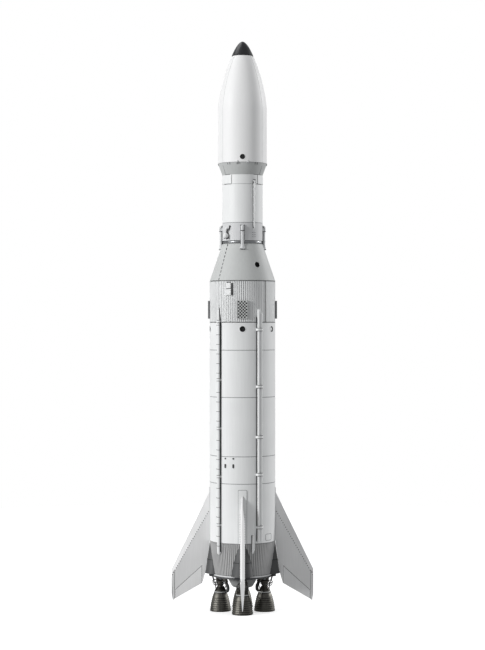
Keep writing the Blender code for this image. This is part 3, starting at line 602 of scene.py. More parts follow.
def bore(target, cuts):
    """Cut round pockets into a piece, with walls in painted shade; cuts holds (azimuth, height, radius,
    inner, outer).
    """
    bm = bmesh.new()
    for azimuth, height, radius, inner, outer in cuts:
        pipe(bm, [(inner, 0.0, height), (outer, 0.0, height)], radius, 40, 0, at(azimuth))
    mesh = mesh_of(bm, "cutter")
    # The cutter's black passes to the pocket walls: painted shade inside the ports.
    mesh.materials.append(finish("black_rubber"))
    cutter = add_object("cutter", mesh)
    cut = target.modifiers.new("pockets", "BOOLEAN")
    cut.operation = "DIFFERENCE"
    cut.solver = "EXACT"
    cut.material_mode = "TRANSFER"
    cut.object = cutter
    bpy.context.view_layer.update()
    graph = bpy.context.evaluated_depsgraph_get()
    plain = target.data
    target.data = bpy.data.meshes.new_from_object(target.evaluated_get(graph))
    target.modifiers.clear()
    target.data.set_sharp_from_angle(angle=SMOOTH_ANGLE)
    bpy.data.meshes.remove(plain)
    bpy.data.objects.remove(cutter, do_unlink=True)
    bpy.data.meshes.remove(mesh)


def dress_node(node, kind):
    """Give a frame node that stays visible its finish."""
    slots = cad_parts[node].material_slots
    if not slots:
        raise RuntimeError(node + " has no material slot")
    for one in slots:
        one.material = finish(kind)


# First stage


TANK_NODES = (
    "stage1_fuel_tank",
    "stage1_intertank",
    "stage1_oxidiser_tank_lower",
    "stage1_oxidiser_tank_upper",
    "stage1_oxidiser_tank_end",
)
TANK_PORTS = ((0.0, 16.35), (62.0, 16.35), (-80.0, 16.35))
TANK_PORT_RADIUS = 0.165
CONE_PORT = (32.0, 20.04, 0.16)


def section_profile(sizes, bottom, top, low_radius, high_radius):
    """Give a section's (radius, height) points with half a sealed joint at each end."""
    half, depth, slant = sizes.seam_half, sizes.seam_depth, 0.004
    return [
        (low_radius - depth, bottom),
        (low_radius - depth, bottom + half),
        (low_radius, bottom + half + slant),
        (high_radius, top - half - slant),
        (high_radius - depth, top - half),
        (high_radius - depth, top),
    ]


SECTION_NUMBERS = [1, 0, 0, 0, 1]


def section(name, node, sizes, kind, joint="seam_sealant"):
    """Make a smooth body section in place of a frame node."""
    bottom, top, radius = span(node)
    bm = bmesh.new()
    profile = section_profile(sizes, bottom, top, radius, radius)
    lathe(bm, profile, sizes.round_segments, SECTION_NUMBERS)
    return piece(bm, name, [kind, joint, "black_rubber"], [node])


def port_rim(bm, azimuth, height, radius, radius_at, width=0.022, proud=0.014, number=0):
    """Add a raised rim around a round port."""
    path = round_path(radius + width / 2.0, height)
    strip_on_body(bm, azimuth, path, radius_at, width / 2.0, -0.004, proud, number, closed=True)


def stringer_ring(radius, depth, count, height):
    """Give a level ring of points over hat-shaped stringers."""
    period = 2.0 * math.pi / count
    points = []
    for i in range(count):
        for share, drop in ((-0.38, depth), (-0.32, 0.0), (0.32, 0.0), (0.38, depth)):
            angle = period * (i + share)
            reach = radius - drop
            points.append((reach * math.cos(angle), reach * math.sin(angle), height))
    return points


def plain_ring(radius, count, height):
    """Give a round ring whose points stand at the same angles as a stringer ring's."""
    return [
        (x * radius / math.hypot(x, y), y * radius / math.hypot(x, y), height)
        for x, y, _ in stringer_ring(radius, 0.0, count, height)
    ]


def corrugated(bm, sizes, bottom, top, radius_at):
    """Add a skirt: stringers between two plain end frames; the skin between them takes material 1, a darker
    paint that is painted shade in the valleys.
    """
    depth, count = sizes.stringer_depth, sizes.stringers
    frame_height, gap = 0.02, 0.012
    rows = []
    for end, up in ((bottom, 1.0), (top, -1.0)):
        part = [plain_ring(radius_at(end), count, end)]
        edge = end + up * frame_height
        part.append(plain_ring(radius_at(edge), count, edge))
        for step in (0.003, gap):
            part.append(plain_ring(radius_at(edge) - depth, count, edge + up * step))
        start = edge + up * (gap + 0.012)
        part.append(stringer_ring(radius_at(start), depth, count, start))
        rows += part if up > 0.0 else part[::-1]
    skin(bm, rows)
    # Faces deep in a valley take material 1: painted shade between the stringers.
    for face in bm.faces:
        middle = face.calc_center_median()
        deep = math.hypot(middle.x, middle.y) < radius_at(middle.z) - depth * 0.55
        if deep and bottom + frame_height < middle.z < top - frame_height:
            face.material_index = 1


class ROCKET_OT_tank_sections(bpy.types.Operator):
    """Model the five white first-stage sections with their sealed joints and ports"""

    bl_idname = "rocket.tank_sections"
    bl_label = "Tank sections"

    def execute(self, context):
        sizes = context.scene.rocket_sizes
        for node in TANK_NODES:
            made = section(node + "_skin", node, sizes, "tank_enamel")
        radius = span(TANK_NODES[0])[2]
        cuts = [
            (azimuth, height, TANK_PORT_RADIUS, radius - 0.07, radius + 0.05) for azimuth,
            height in TANK_PORTS
        ]
        bore(made, cuts)
        bm = bmesh.new()
        for azimuth, height in TANK_PORTS:
            port_rim(bm, azimuth, height, TANK_PORT_RADIUS, radius)
            for i in range(12):
                angle = math.radians(30.0 * i + 15.0)
                reach = TANK_PORT_RADIUS + 0.045
                point = on_body(azimuth, reach * math.cos(angle), radius, height + reach * math.sin(angle))
                heads(bm, [(point, outward(point))], 0.009)
        azimuth, height = TANK_PORTS[1]
        plate_on_body(bm, azimuth, round_path(0.095, height), radius, -0.065, -0.03)
        piece(bm, "tank_port_rims", ["tank_enamel"])
        self.intertank_openings(radius)
        return {"FINISHED"}

    def intertank_openings(self, radius):
        """Set the four small openings, each a flat black plate of painted shade in a raised rim, and the
        outlined panel on the fuel tank.
        """
        bm = bmesh.new()
        for azimuth in (-31.0, -16.0):
            for bottom, top, half in ((8.90, 9.00, 0.050), (8.40, 8.64, 0.055)):
                outline = rounded(half, bottom, top, half * 0.95)
                # The black plate stands for the opening's dark inside: painted shade.
                plate_on_body(bm, azimuth, outline, radius, -0.004, 0.006, 1)
                grown = rounded(half + 0.012, bottom - 0.012, top + 0.012, half)
                strip_on_body(bm, azimuth, grown, radius, 0.010, -0.004, 0.012, 0, closed=True)
        piece(bm, "intertank_openings", ["tank_enamel", "black_rubber"])
        bm = bmesh.new()
        strip_on_body(bm, 52.0, [(-0.235, 4.41), (0.235, 4.41)], radius, 0.155, -0.004, 0.008)
        strip_on_body(bm, 52.0, rounded(0.262, 4.228, 4.592, 0.07), radius, 0.012, -0.004, 0.005, 1, True)
        piece(bm, "service_panel", ["tank_enamel", "seam_sealant"])


class ROCKET_OT_forward_skirt(bpy.types.Operator):
    """Model the corrugated forward skirt with its grilles and equipment box"""

    bl_idname = "rocket.forward_skirt"
    bl_label = "Forward skirt"

    def execute(self, context):
        sizes = context.scene.rocket_sizes
        bottom, top, radius = span("forward_skirt")
        bm = bmesh.new()
        corrugated(bm, sizes, bottom, top, lambda z: radius)
        piece(bm, "forward_skirt_stringers", ["tank_enamel", "stringer_shade"], ["forward_skirt"])
        bm = bmesh.new()
        for azimuth in (43.125, 223.125):
            joint = [(0.0, bottom + 0.01), (0.0, top - 0.01)]
            strip_on_body(bm, azimuth, joint, radius, 0.030, -0.03, 0.006)
        for height in (bottom, top):
            hoop(bm, rectangle(radius - 0.03, radius + 0.002, height - 0.014, height + 0.014), 192)
        piece(bm, "forward_skirt_joints", ["black_rubber"])
        for side, azimuth in SIDES.items():
            self.grille(side, azimuth)
        self.equipment_box(radius)
        return {"FINISHED"}

    def grille(self, side, azimuth):
        """Make a vent grille: a box whose outer face is pierced by staggered square holes, black inside as
        painted shade.
        """
        node = "vent_grille_" + side
        bottom, top, _ = span(node)
        half, inner, outer, depth = 0.29, 1.86, 2.0, 0.075
        border, columns, count = 0.030, 6, 11
        wide = (2.0 * half - 2.0 * border) / columns
        tall = (top - bottom - 2.0 * border) / count
        across = [-half] + [border - half + wide * i for i in range(columns + 1)] + [half]
        up = [bottom] + [bottom + border + tall * i for i in range(count + 1)] + [top]
        bm = bmesh.new()
        face = [[bm.verts.new((outer, y, z)) for y in across] for z in up]
        for row in range(count + 2):
            for column in range(columns + 2):
                corners = [
                    face[row][column], face[row][column + 1], face[row + 1][column + 1], face[row + 1][column]
                ]
                edge = row in (0, count + 1) or column in (0, columns + 1)
                if edge or (row + column) % 2:
                    bm.faces.new(corners)
                    continue
                # The hole's walls and floor take material 1, black: painted shade inside the hole.
                middle = sum((corner.co for corner in corners), Vector()) / 4.0
                shallow = [bm.verts.new(middle + (corner.co - middle) * 0.99) for corner in corners]
                deep = [bm.verts.new(vert.co - Vector((depth, 0.0, 0.0))) for vert in shallow]
                for i in range(4):
                    j = (i + 1) % 4
                    bm.faces.new((corners[i], corners[j], shallow[j], shallow[i])).material_index = 1
                    bm.faces.new((shallow[i], shallow[j], deep[j], deep[i])).material_index = 1
                bm.faces.new(deep).material_index = 1
        rim = [face[0][i] for i in range(len(across))] + [face[i][-1] for i in range(1, len(up))]
        rim += [
            face[-1][i] for i in range(len(across) - 2, -1, -1)
        ] + [face[i][0] for i in range(len(up) - 2, 0, -1)]
        back = [bm.verts.new((inner, vert.co.y, vert.co.z)) for vert in rim]
        for i in range(len(rim)):
            bm.faces.new((rim[i - 1], rim[i], back[i], back[i - 1])).material_index = 2
        bm.faces.new(back)
        bmesh.ops.transform(bm, matrix=at(azimuth), verts=bm.verts)
        piece(bm, node + "_mesh", ["cone_grey_enamel", "black_rubber", "panel_grey_enamel"], [node])

    def equipment_box(self, radius):
        """Make the stepped equipment box with its lids, handles and the two plugs above it, and a dark block
        behind the lids that shows past their right side as painted shade.
        """
        matrix = at(-24.375)
        bm = bmesh.new()
        for inner, outer, left, right, low, high, number in (
            (-0.05, 0.11, -0.19, 0.17, 18.29, 18.63, 0),
            (-0.05, 0.08, -0.17, 0.15, 18.675, 18.98, 0),
            (0.10, 0.116, -0.165, 0.145, 18.315, 18.605, 0),
            (0.07, 0.086, -0.145, 0.125, 18.70, 18.955, 0),
            # The last block is dark and reaches past the lids' right side and between them: painted shade on
            # the box's shaded side and in the gap between the lids.
            (-0.05, 0.04, -0.15, 0.25, 18.30, 18.97, 1),
        ):
            block(bm, (radius + inner, left, low), (radius + outer, right, high), number, matrix)
        kinds = ["white_enamel", "heat_grey_enamel"]
        piece(bm, "equipment_box_lids", kinds, ["equipment_box"], bevel=0.006)
        bm = bmesh.new()
        for aside in (-0.075, 0.075):
            pipe(bm, [(radius - 0.03, aside, 19.02), (radius + 0.03, aside, 19.02)], 0.032, 12, 0, matrix)
        for height in (18.38, 18.56, 18.75, 18.90):
            for aside in (-0.13, 0.13):
                reach = radius + (0.116 if height < 18.65 else 0.086)
                heads(bm, [(matrix @ Vector((reach, aside, height)), matrix.col[0].xyz)], 0.009)
        piece(bm, "equipment_box_plugs", ["black_rubber"])


class ROCKET_OT_cable_ducts(bpy.types.Operator):
    """Model the cable ducts along both stages and the drain pipe"""

    bl_idname = "rocket.cable_ducts"
    bl_label = "Cable ducts"

    def execute(self, context):
        sizes = context.scene.rocket_sizes
        radius = span(TANK_NODES[0])[2]
        self.left_duct(sizes, radius)
        self.right_ducts(radius)
        self.upper_duct()
        self.drain_pipe(radius)
        return {"FINISHED"}

    def cover(self, seat, proud, half, height):
        """Give the left duct's section: short straight sides and a round outer face."""
        points = [(seat, -half, height)]
        for across, aside in half_turn():
            points.append((seat + proud * 0.2 + proud * 0.8 * across, half * aside, height))
        return points + [(seat, half, height)]

    def left_duct(self, sizes, radius):
        """Make the long closed duct with its clamps and pointed top, a black pipe of painted shade along its
        right side and a grey strip of painted shadow on the tank beside it.
        """
        azimuth = -45.0
        matrix = at(azimuth)
        seat = radius - 0.03
        bottom, top, _ = span("cable_duct_left")
        bm = bmesh.new()
        shape = ((0.0, 0.07, 0.04), (0.06, 0.13, 0.085), (0.14, 0.15, 0.11))
        rows = [self.cover(seat, proud, half, bottom + step) for step, proud, half in shape]
        rows += [self.cover(seat, 0.15, 0.11, top - 0.86)]
        for share in (0.25, 0.5, 0.75, 1.0):
            height = top - 0.86 * (1.0 - share)
            rows.append(self.cover(seat, 0.15 - 0.10 * share**1.5, 0.11 - 0.097 * share, height))
        skin(bm, rows, 0, matrix)
        large = (5.13, 7.90, 10.66, 13.44, 16.78)
        small = []
        height = bottom + 0.5
        while height < top - 1.0:
            if min(abs(height - place) for place in large) > 0.2:
                small.append(height)
            height += sizes.clamp_pitch
        for height in small:
            rows = [self.cover(seat, 0.160, 0.124, height + step) for step in (-0.014, 0.014)]
            skin(bm, rows, 2, matrix)
            low = (seat, -0.21, height - 0.014)
            block(bm, low, (seat + 0.05, -0.11, height + 0.014), 2, matrix)
        for height in large:
            for low, high, number in ((-0.085, -0.05, 2), (-0.055, 0.055, 0), (0.05, 0.085, 2)):
                rows = [
                    self.cover(
                        seat, 0.178 if number == 0 else 0.172, 0.135, height + step
                    ) for step in (low, high)
                ]
                skin(bm, rows, number, matrix)
            for side in (-1.0, 1.0):
                low = (seat, side * 0.165 - 0.035, height - 0.055)
                block(bm, low, (seat + 0.055, side * 0.165 + 0.035, height + 0.055), 0, matrix)
        # A black pipe along the duct's right side is painted shade.
        shade_band = [(seat + 0.045, 0.124, bottom + 0.16), (seat + 0.045, 0.124, top - 0.86)]
        pipe(bm, shade_band + [(seat + 0.03, 0.03, top - 0.10)], [0.032, 0.050, 0.016], 10, 1, matrix)
        # A grey strip on the tank right of the duct is a painted contact shadow.
        edge = [(0.20, bottom + 0.2), (0.20, top - 0.9)]
        strip_on_body(bm, azimuth, edge, radius, 0.020, -0.03, 0.004, 3)
        kinds = ["tank_enamel", "black_rubber", "panel_grey_enamel", "seam_sealant"]
        piece(bm, "cable_duct_left_cover", kinds, ["cable_duct_left"], bevel=0.003)

    def right_ducts(self, radius):
        """Make the twin tubes with slanted tops, saddles and dark strips of painted shade on the tank beside
        them.
        """
        tube, sides = 0.075, 20
        centre = radius + tube + 0.0103
        bm = bmesh.new()
        for azimuth, top in ((27.9, 17.49), (32.3, 17.28)):
            matrix = at(azimuth)
            shape = [
                (tube, 4.20), (tube, top - 0.12), (tube * 0.93, top - 0.07), (tube * 0.7, top - 0.02),
                (tube * 0.3, top)
            ]
            skin(bm, [ring(size, height, sides, (centre, 0.0)) for size, height in shape], 0, matrix)
        middle = at(30.1)
        block(bm, (radius - 0.03, -0.075, 4.23), (centre + 0.02, 0.075, 17.02), 0, middle)
        # Dark strips on the tank at both sides of the tubes are painted shade.
        for aside, half in ((-0.178, 0.018), (0.155, 0.024)):
            painted_shade_path = [(aside, 4.23), (aside, 17.05)]
            strip_on_body(bm, 30.1, painted_shade_path, radius, half, -0.004, 0.05, 1)
        for height in (5.03, 8.04, 10.18, 13.06, 16.32):
            for step, grow, deep in ((0.0, 0.040, 0.065), (-0.075, 0.034, 0.016), (0.075, 0.034, 0.016)):
                matrix = at(30.1, 0.0, height + step)
                rows = []
                for z in (-deep, deep):
                    row = [(radius - 0.03, -0.17 - grow, z)]
                    for across, aside in half_turn():
                        row.append((centre + (tube + grow) * across, (0.080 + tube + grow) * aside, z))
                    rows.append(row + [(radius - 0.03, 0.17 + grow, z)])
                skin(bm, rows, 1 if step else 0, matrix)
        kinds = ["tank_enamel", "heat_grey_enamel"]
        piece(bm, "cable_duct_right_tubes", kinds, ["cable_duct_right"])

    def upper_duct(self):
        """Make the second stage's tube with its bracket, clips and a black strip along its left side."""
        bottom, top, _ = span("stage2_cable_duct")
        radius = span("stage2_tank")[2]
        matrix = at(34.0)
        size = 0.05
        centre = radius + size
        bm = bmesh.new()
        points = [
            (centre - 0.045, 0.0, bottom), (centre - 0.03, 0.0, bottom + 0.10), (centre, 0.0, bottom + 0.24)
        ]
        pipe(bm, points + [(centre, 0.0, top - 0.03)], [0.012, 0.03, size, size], 16, 0, matrix)
        block(bm, (radius - 0.01, -0.085, top - 0.20), (radius + 0.075, 0.075, top - 0.12), 2, matrix)
        block(bm, (radius - 0.01, -0.055, top - 0.05), (radius + 0.10, 0.055, top), 2, matrix)
        for i in range(5):
            height = bottom + 0.45 + 0.48 * i
            block(
                bm, (radius - 0.01, -0.066, height - 0.015), (centre + 0.054, 0.066, height + 0.015), 0,
                matrix
            )
        pipe(
            bm, [(radius + 0.012, -0.048, bottom + 0.1), (radius + 0.012, -0.048, top - 0.1)], 0.024, 8, 1,
            matrix
        )
        kinds = ["white_enamel", "black_rubber", "heat_grey_enamel"]
        piece(bm, "stage2_cable_duct_tube", kinds, ["stage2_cable_duct"])

    def drain_pipe(self, radius):
        """Make the drain pipe with its top knob, collars, saddle strip and open end."""
        bottom, top, _ = span("drain_pipe")
        matrix = at(19.0)
        out = radius + 0.058
        places = (
            (0.0, 0.03, 0.050), (0.03, 0.03, 0.082), (0.10, 0.01, 0.084), (0.14, 0.0, 0.074),
            (0.5, -0.02, 0.074)
        )
        places += ((0.8, -0.035, 0.070), (0.92, -0.05, 0.056), (1.0, -0.06, 0.040))
        points = [(out, aside, top - share * (top - bottom)) for share, aside, _ in places]
        bm = bmesh.new()
        pipe(bm, points, [size for _, _, size in places], 20, 0, matrix)
        for share, aside in ((0.52, -0.02), (0.80, -0.035)):
            height = top - share * (top - bottom)
            pipe(bm, [(out, aside, height + 0.03), (out, aside, height - 0.03)], 0.084, 20, 0, matrix)
            block(
                bm, (radius - 0.03, aside - 0.10, height - 0.02), (out, aside + 0.10, height + 0.02), 1,
                matrix
            )
        block(bm, (radius - 0.06, -0.122, bottom + 0.12), (radius + 0.03, -0.055, top - 0.06), 1, matrix)
        pipe(bm, [(out, -0.059, bottom + 0.02), (out, -0.061, bottom - 0.001)], 0.034, 16, 2, matrix)
        kinds = ["tank_enamel", "heat_grey_enamel", "black_rubber"]
        piece(bm, "drain_pipe_bend", kinds, ["drain_pipe"])


# Second stage and nose


class ROCKET_OT_interstage(bpy.types.Operator):
    """Model the interstage cone with its struts, port and rivet rows, and the separation ring"""

    bl_idname = "rocket.interstage"
    bl_label = "Interstage"

    def execute(self, context):
        sizes = context.scene.rocket_sizes
        bottom = span("forward_skirt")[1]
        top, _, ring_radius = span("separation_ring")
        low_radius = span("forward_skirt")[2]
        high_radius = span("equipment_bay")[2]
        radius_at = taper(bottom, top, low_radius, high_radius)
        bm = bmesh.new()
        profile = section_profile(sizes, bottom, top, low_radius, high_radius)
        lathe(bm, profile, sizes.round_segments, SECTION_NUMBERS)
        kinds = ["cone_grey_enamel", "seam_sealant", "black_rubber"]
        cone = piece(bm, "interstage_cone_skin", kinds, ["interstage_cone"])
        azimuth, height, radius = CONE_PORT
        bore(cone, [(azimuth, height, radius, radius_at(height) - 0.16, radius_at(height) + 0.12)])
        bm = bmesh.new()
        port_rim(bm, azimuth, height, radius, radius_at, 0.03, 0.02)
        piece(bm, "interstage_port_rim", ["cone_grey_enamel"])
        self.rivets(sizes, bottom, top, radius_at)
        self.separation_ring(sizes, ring_radius)
        for side, azimuth in SIDES.items():
            self.strut(side, azimuth, radius_at)
        return {"FINISHED"}

    def rivets(self, sizes, bottom, top, radius_at):
        """Set the dark joint clips up two sides of the cone, and fine rivets round its ends."""
        bm = bmesh.new()
        count = 10
        for azimuth in (-46.0, 134.0):
            for i in range(count):
                height = bottom + 0.10 + (top - bottom - 0.2) * i / (count - 1)
                outline = rounded(0.026, height - 0.068, height + 0.068, 0.018, 2)
                plate_on_body(bm, azimuth, outline, radius_at, -0.004, 0.010, 0)
        piece(bm, "interstage_clips", ["heat_grey_enamel"])
        bm = bmesh.new()
        for height in (bottom + 0.06, top - 0.05):
            for i in range(96):
                point = on_body(3.75 * i + 1.9, 0.0, radius_at(height), height)
                heads(bm, [(point, outward(point, 0.6))], sizes.rivet_radius * 0.8)
        piece(bm, "interstage_rivets", ["cone_grey_enamel"])

    def separation_ring(self, sizes, radius):
        """Make the bright machined ring between the stages."""
        bottom, top, _ = span("separation_ring")
        middle, tall = (bottom + top) / 2.0, (top - bottom) / 2.0 - 0.014
        profile = [(radius - 0.03, bottom), (radius - 0.03, bottom + 0.012)]
        for i in range(9):
            angle = math.radians(-40.0 + 10.0 * i)
            rise = tall * math.sin(angle) / math.sin(math.radians(40.0))
            profile.append((radius - (1.0 - math.cos(angle)) * 0.09, middle + rise))
        profile += [(radius - 0.03, top - 0.012), (radius - 0.03, top)]
        bm = bmesh.new()
        lathe(bm, profile, sizes.round_segments, [1] + [0] * 10 + [1])
        piece(bm, "separation_ring_band", ["polished_aluminium", "heat_grey_enamel"], ["separation_ring"])

    def strut(self, side, azimuth, radius_at):
        """Make one strut: a foot on the cone, a round rod before a dark rail of painted shade between rod and
        bay, and a head on the bay.
        """
        matrix = at(azimuth)
        seat = span("equipment_bay")[2]
        foot = 20.93
        reach = seat + 0.06
        bm = bmesh.new()

        def stack(places, number=0):
            skin(bm, [ring(size, height, 24, (reach, 0.0)) for size, height in places], number, matrix)

        block(bm, (radius_at(foot) - 0.08, -0.150, foot), (1.37, 0.150, foot + 0.028), 1, matrix)
        block(bm, (radius_at(foot) - 0.08, -0.148, foot + 0.026), (1.365, 0.148, foot + 0.062), 0, matrix)
        stack(((0.132, foot + 0.06), (0.120, foot + 0.12), (0.094, foot + 0.26), (0.088, foot + 0.34)))
        stack(((0.088, foot + 0.30), (0.088, 21.95), (0.078, 22.01)))
        for height in (21.43, 21.93):
            stack(
                (
                    (0.088, height - 0.035), (0.101, height - 0.02), (0.101, height + 0.02),
                    (0.088, height + 0.035)
                )
            )
        # The dark rail behind the rod is painted shade between the rod and the bay.
        block(bm, (seat - 0.02, -0.112, foot + 0.30), (reach - 0.02, 0.112, 21.99), 1, matrix)
        stack(((0.130, 21.985), (0.130, 22.020)), 1)
        stack(((0.110, 22.02), (0.112, 22.20), (0.104, 22.26), (0.082, 22.30), (0.0, 22.31)))
        block(bm, (seat - 0.02, -0.105, 22.03), (reach + 0.02, 0.105, 22.27), 0, matrix)
        cheeks = ((0.100, 0.124, 22.01, 22.20, 0.055, 1), (0.123, 0.142, 22.02, 22.19, 0.045, 0))
        cheeks += ((0.080, 0.125, 22.20, 22.34, -0.01, 1),)
        for sign in (-1.0, 1.0):
            for near, far, bottom, top, proud, number in cheeks:
                low, high = sorted((sign * near, sign * far))
                block(bm, (seat - 0.02, low, bottom), (reach + proud, high, top), number, matrix)
        kinds = ["pale_grey_enamel", "heat_grey_enamel"]
        piece(bm, "separation_strut_" + side, kinds, bevel=0.006)


class ROCKET_OT_second_stage(bpy.types.Operator):
    """Model the second stage's bay, tank, skirt panels and roll thruster"""

    bl_idname = "rocket.second_stage"
    bl_label = "Second stage"

    def execute(self, context):
        sizes = context.scene.rocket_sizes
        section("equipment_bay_skin", "equipment_bay", sizes, "pale_grey_enamel")
        section("stage2_tank_skin", "stage2_tank", sizes, "white_enamel", "adapter_grey_enamel")
        section(
            "stage2_forward_skirt_skin", "stage2_forward_skirt", sizes, "white_enamel", "adapter_grey_enamel"
        )
        radius = span("stage2_tank")[2]
        self.skirt_panels(radius)
        self.bay_louver(radius)
        self.roll_thruster(radius)
        return {"FINISHED"}

    def skirt_panels(self, radius):
        """Set the raised panels with dark edges around the second stage's skirt; the dark seams are partly
        painted shade.
        """
        bottom, top, _ = span("stage2_forward_skirt")
        low, high = bottom + 0.03, top - 0.035
        bm = bmesh.new()
        # The level dark strips run only over some arcs, not across the front: seams darkened as painted shade
        # where it falls.
        gaps = ((-65.0, -34.0, bottom), (43.0, 68.0, bottom), (-59.0, -37.6, top), (33.8, 64.7, top))
        for start, end, height in gaps + ((120.0, 240.0, bottom), (130.0, 215.0, top)):
            gap = rectangle(radius - 0.02, radius + 0.001, height - 0.015, height + 0.015)
            hoop(bm, gap, 24, 1, None, (start - 90.0, end - 90.0))
        for start, end in ((-118.0, -33.0), (48.0, 130.0), (150.0, 222.0)):
            steps = 24
            rows = []
            for i in range(steps + 1):
                azimuth = start + (end - start) * i / steps
                corners = rectangle(-0.004, 0.012, low, high)
                rows.append([on_body(azimuth, 0.0, radius, z, lift) for lift, z in corners])
            skin(bm, rows)
            for azimuth, aside in ((start, -0.014), (end, 0.014)):
                edge = [(aside, low - 0.01), (aside, high + 0.01)]
                strip_on_body(bm, azimuth, edge, radius, 0.016, -0.004, 0.006, 1)
        piece(bm, "stage2_skirt_panels", ["white_enamel", "heat_grey_enamel"])

    def bay_louver(self, radius):
        """Set the three louver blades with a dark band of painted shade under each, and the hatch outline on
        the equipment bay.
        """
        bm = bmesh.new()
        for i in range(3):
            height = 21.68 + 0.12 * i
            outline = rectangle(-0.11, 0.11, height, height + 0.035)
            plate_on_body(bm, 34.0, outline, radius, -0.004, 0.030)
            # A dark band just under each blade is painted shade.
            gap = [(aside, z - 0.035) for aside, z in outline]
            plate_on_body(bm, 34.0, gap, radius, -0.004, 0.004, 1)
        for azimuth in (128.0, 232.0):
            frame_line = rounded(0.24, 21.66, 22.16, 0.05)
            strip_on_body(bm, azimuth, frame_line, radius, 0.012, -0.004, 0.006, 1, True)
        piece(bm, "bay_louver", ["pale_grey_enamel", "seam_sealant"], bevel=0.003)

    def roll_thruster(self, seat):
        """Make the roll thruster: a round tank with a black sphere behind it as its painted shadow, with its
        link, valve and two nozzles.
        """
        matrix = at(-47.5)
        middle = Vector((seat + 0.143, 0.0, 21.72))
        bm = bmesh.new()
        # The second sphere is black and set behind the tank, so that it shows at one side as a painted
        # shadow.
        for size, shift, number in ((0.162, Vector(), 0), (0.155, Vector((-0.104, -0.044, -0.022)), 1)):
            profile = [(size * across, size * rise) for across, rise in half_turn(24)[1:-1]]
            profile = [(0.0, -size)] + profile + [(0.0, size)]
            lathe(bm, profile, 40, number, matrix @ Matrix.Translation(middle + shift))
        link = [(seat + 0.06, 0.06, 21.84), (seat + 0.07, 0.05, 21.98), (seat + 0.06, 0.13, 22.07)]
        link += [(seat + 0.05, 0.19, 22.13), (seat + 0.02, 0.21, 22.29)]
        pipe(bm, bend(link), 0.030, 12, 1, matrix)
        block(bm, (seat - 0.02, 0.175, 22.25), (seat + 0.05, 0.245, 22.30), 1, matrix)
        block(bm, (seat - 0.02, -0.085, 22.09), (seat + 0.09, 0.005, 22.18), 0, matrix)
        pipe(bm, [(seat + 0.05, -0.04, 22.10), (seat + 0.09, 0.0, 21.86)], 0.024, 10, 2, matrix)
        block(bm, (seat - 0.02, -0.06, 21.60), (seat + 0.06, 0.10, 21.84), 1, matrix)
        for sign in (-1.0, 1.0):
            start = middle + Vector((-0.02, sign * 0.10, -0.10))
            end = middle + Vector((-0.02, sign * 0.135, -0.165))
            pipe(bm, [start, end], [0.020, 0.036], 16, 1, matrix)
        kinds = ["white_enamel", "black_rubber", "panel_grey_enamel"]
        piece(bm, "roll_thruster_tank", kinds, ["roll_thruster"])


PETAL_FOOT = 25.93
NOSE_RADIUS = 1.41
NOSE_START = 29.07
PETAL_HALF_ANGLE = math.radians(60.0)
PETAL_PORT_HEIGHT = 26.23
PETAL_PORT_RADIUS = 0.15


def nose_radius(height):
    """Give the fairing's outer radius: a cylinder with a curved nose."""
    share = min(1.0, max(0.0, (height - NOSE_START) / (CAD_BOX[1][2] - NOSE_START)))
    return NOSE_RADIUS * (1.0 - share**1.5) ** 0.71


